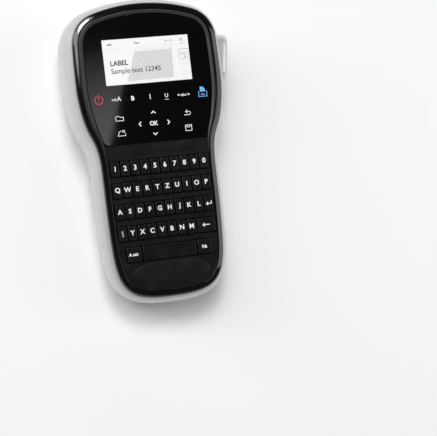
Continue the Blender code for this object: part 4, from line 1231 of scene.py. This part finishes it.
def area_light(name, width, height, power):
    light = bpy.data.lights.new(name, "AREA")
    light.shape = "RECTANGLE"
    light.size, light.size_y = width, height
    light.energy = power
    return shown(name, light)


def turned_to(way):
    return Vector(way).to_track_quat("-Z", "Y").to_euler()


def make_floor():
    bm = bmesh.new()
    bmesh.ops.create_grid(bm, x_segments=8, y_segments=8, size=FLOOR_HALF)
    floor = shown("floor", mesh_from("floor", bm))
    paper = Shader("floor_paper", FLOOR_COLOUR, 0.8)
    paper.colours(paper.noise(6, 3, 0.5), *shades(FLOOR_COLOUR, 0.01))
    paper.bump(paper.noise(900, 2, 0.5), 0.00002, 0.2)
    floor.data.materials.append(paper.material)


def make_sky():
    """White light from low down, which fades towards the zenith."""
    world = bpy.data.worlds.new("studio")
    bpy.context.scene.world = world
    world.use_nodes = True
    tree = world.node_tree
    background = tree.nodes["Background"]
    background.inputs["Color"].default_value = (1, 1, 1, 1)
    direction = tree.nodes.new("ShaderNodeTexCoord").outputs["Generated"]
    height = tree.nodes.new("ShaderNodeSeparateXYZ")
    tree.links.new(direction, height.inputs["Vector"])
    fade = tree.nodes.new("ShaderNodeMapRange")
    set_range(fade, SKY_FADE)
    tree.links.new(height.outputs["Z"], fade.inputs["Value"])
    tree.links.new(fade.outputs["Result"], background.inputs["Strength"])


def make_lights():
    sun = bpy.data.lights.new("soft_head", "SUN")
    sun.energy = SUN_ENERGY
    sun.angle = math.radians(SUN_ANGLE)
    shown("soft_head", sun).rotation_euler = turned_to(SUN_WAY)
    for name, place, width, height, power in LIGHTS:
        light = area_light(name, width, height, power)
        light.location = place
        light.rotation_euler = turned_to(-Vector(place))


def make_glare_card():
    """A dim card above and to the right, whose slanting edge the polished panel mirrors in its lower left."""
    card = area_light("glare_card", GLARE_WIDTH, GLARE_LENGTH, GLARE_POWER)
    card.data.spread = math.radians(GLARE_SPREAD)
    aim = Vector(GLARE_AIM).normalized()
    edge = Vector(GLARE_EDGE_TOP) - Vector(GLARE_EDGE_BOTTOM)
    along = (edge - edge.dot(aim) * aim).normalized()
    across = along.cross(aim)
    middle = (Vector(GLARE_EDGE_TOP) + Vector(GLARE_EDGE_BOTTOM)) / 2 - across * GLARE_WIDTH / 2
    turn = Matrix((across, along, aim)).transposed()
    card.matrix_world = FACE @ Matrix.Translation(middle) @ turn.to_4x4()


def make_camera():
    data = bpy.data.cameras.new("camera")
    data.sensor_fit = "HORIZONTAL"
    data.sensor_width = 36
    data.lens = CAMERA_LENS
    data.clip_start = 0.01
    data.clip_end = 20
    camera = shown("camera", data)
    local = Matrix((CAMERA_X, CAMERA_Y, CAMERA_Z)).transposed().to_4x4()
    local.translation = CAMERA_PLACE
    camera.matrix_world = FACE @ local
    bpy.context.scene.camera = camera


bpy.context.scene.view_settings.view_transform = "Standard"
for make in (make_camera, make_floor, make_sky, make_lights, make_glare_card):
    make()
for make in (make_rim, make_bevel_ring, make_deck, make_heel_pad, make_panel, make_panel_marks, make_display):
    make()
for row_of_keys in key_places():
    for key_name, key_x, key_y, key_width in row_of_keys:
        make_key(key_name, key_x, key_y, key_width)
for make in (make_rear, make_doors, make_button, make_exit_throat, make_cassette, make_battery):
    make()
finish_carried_nodes()
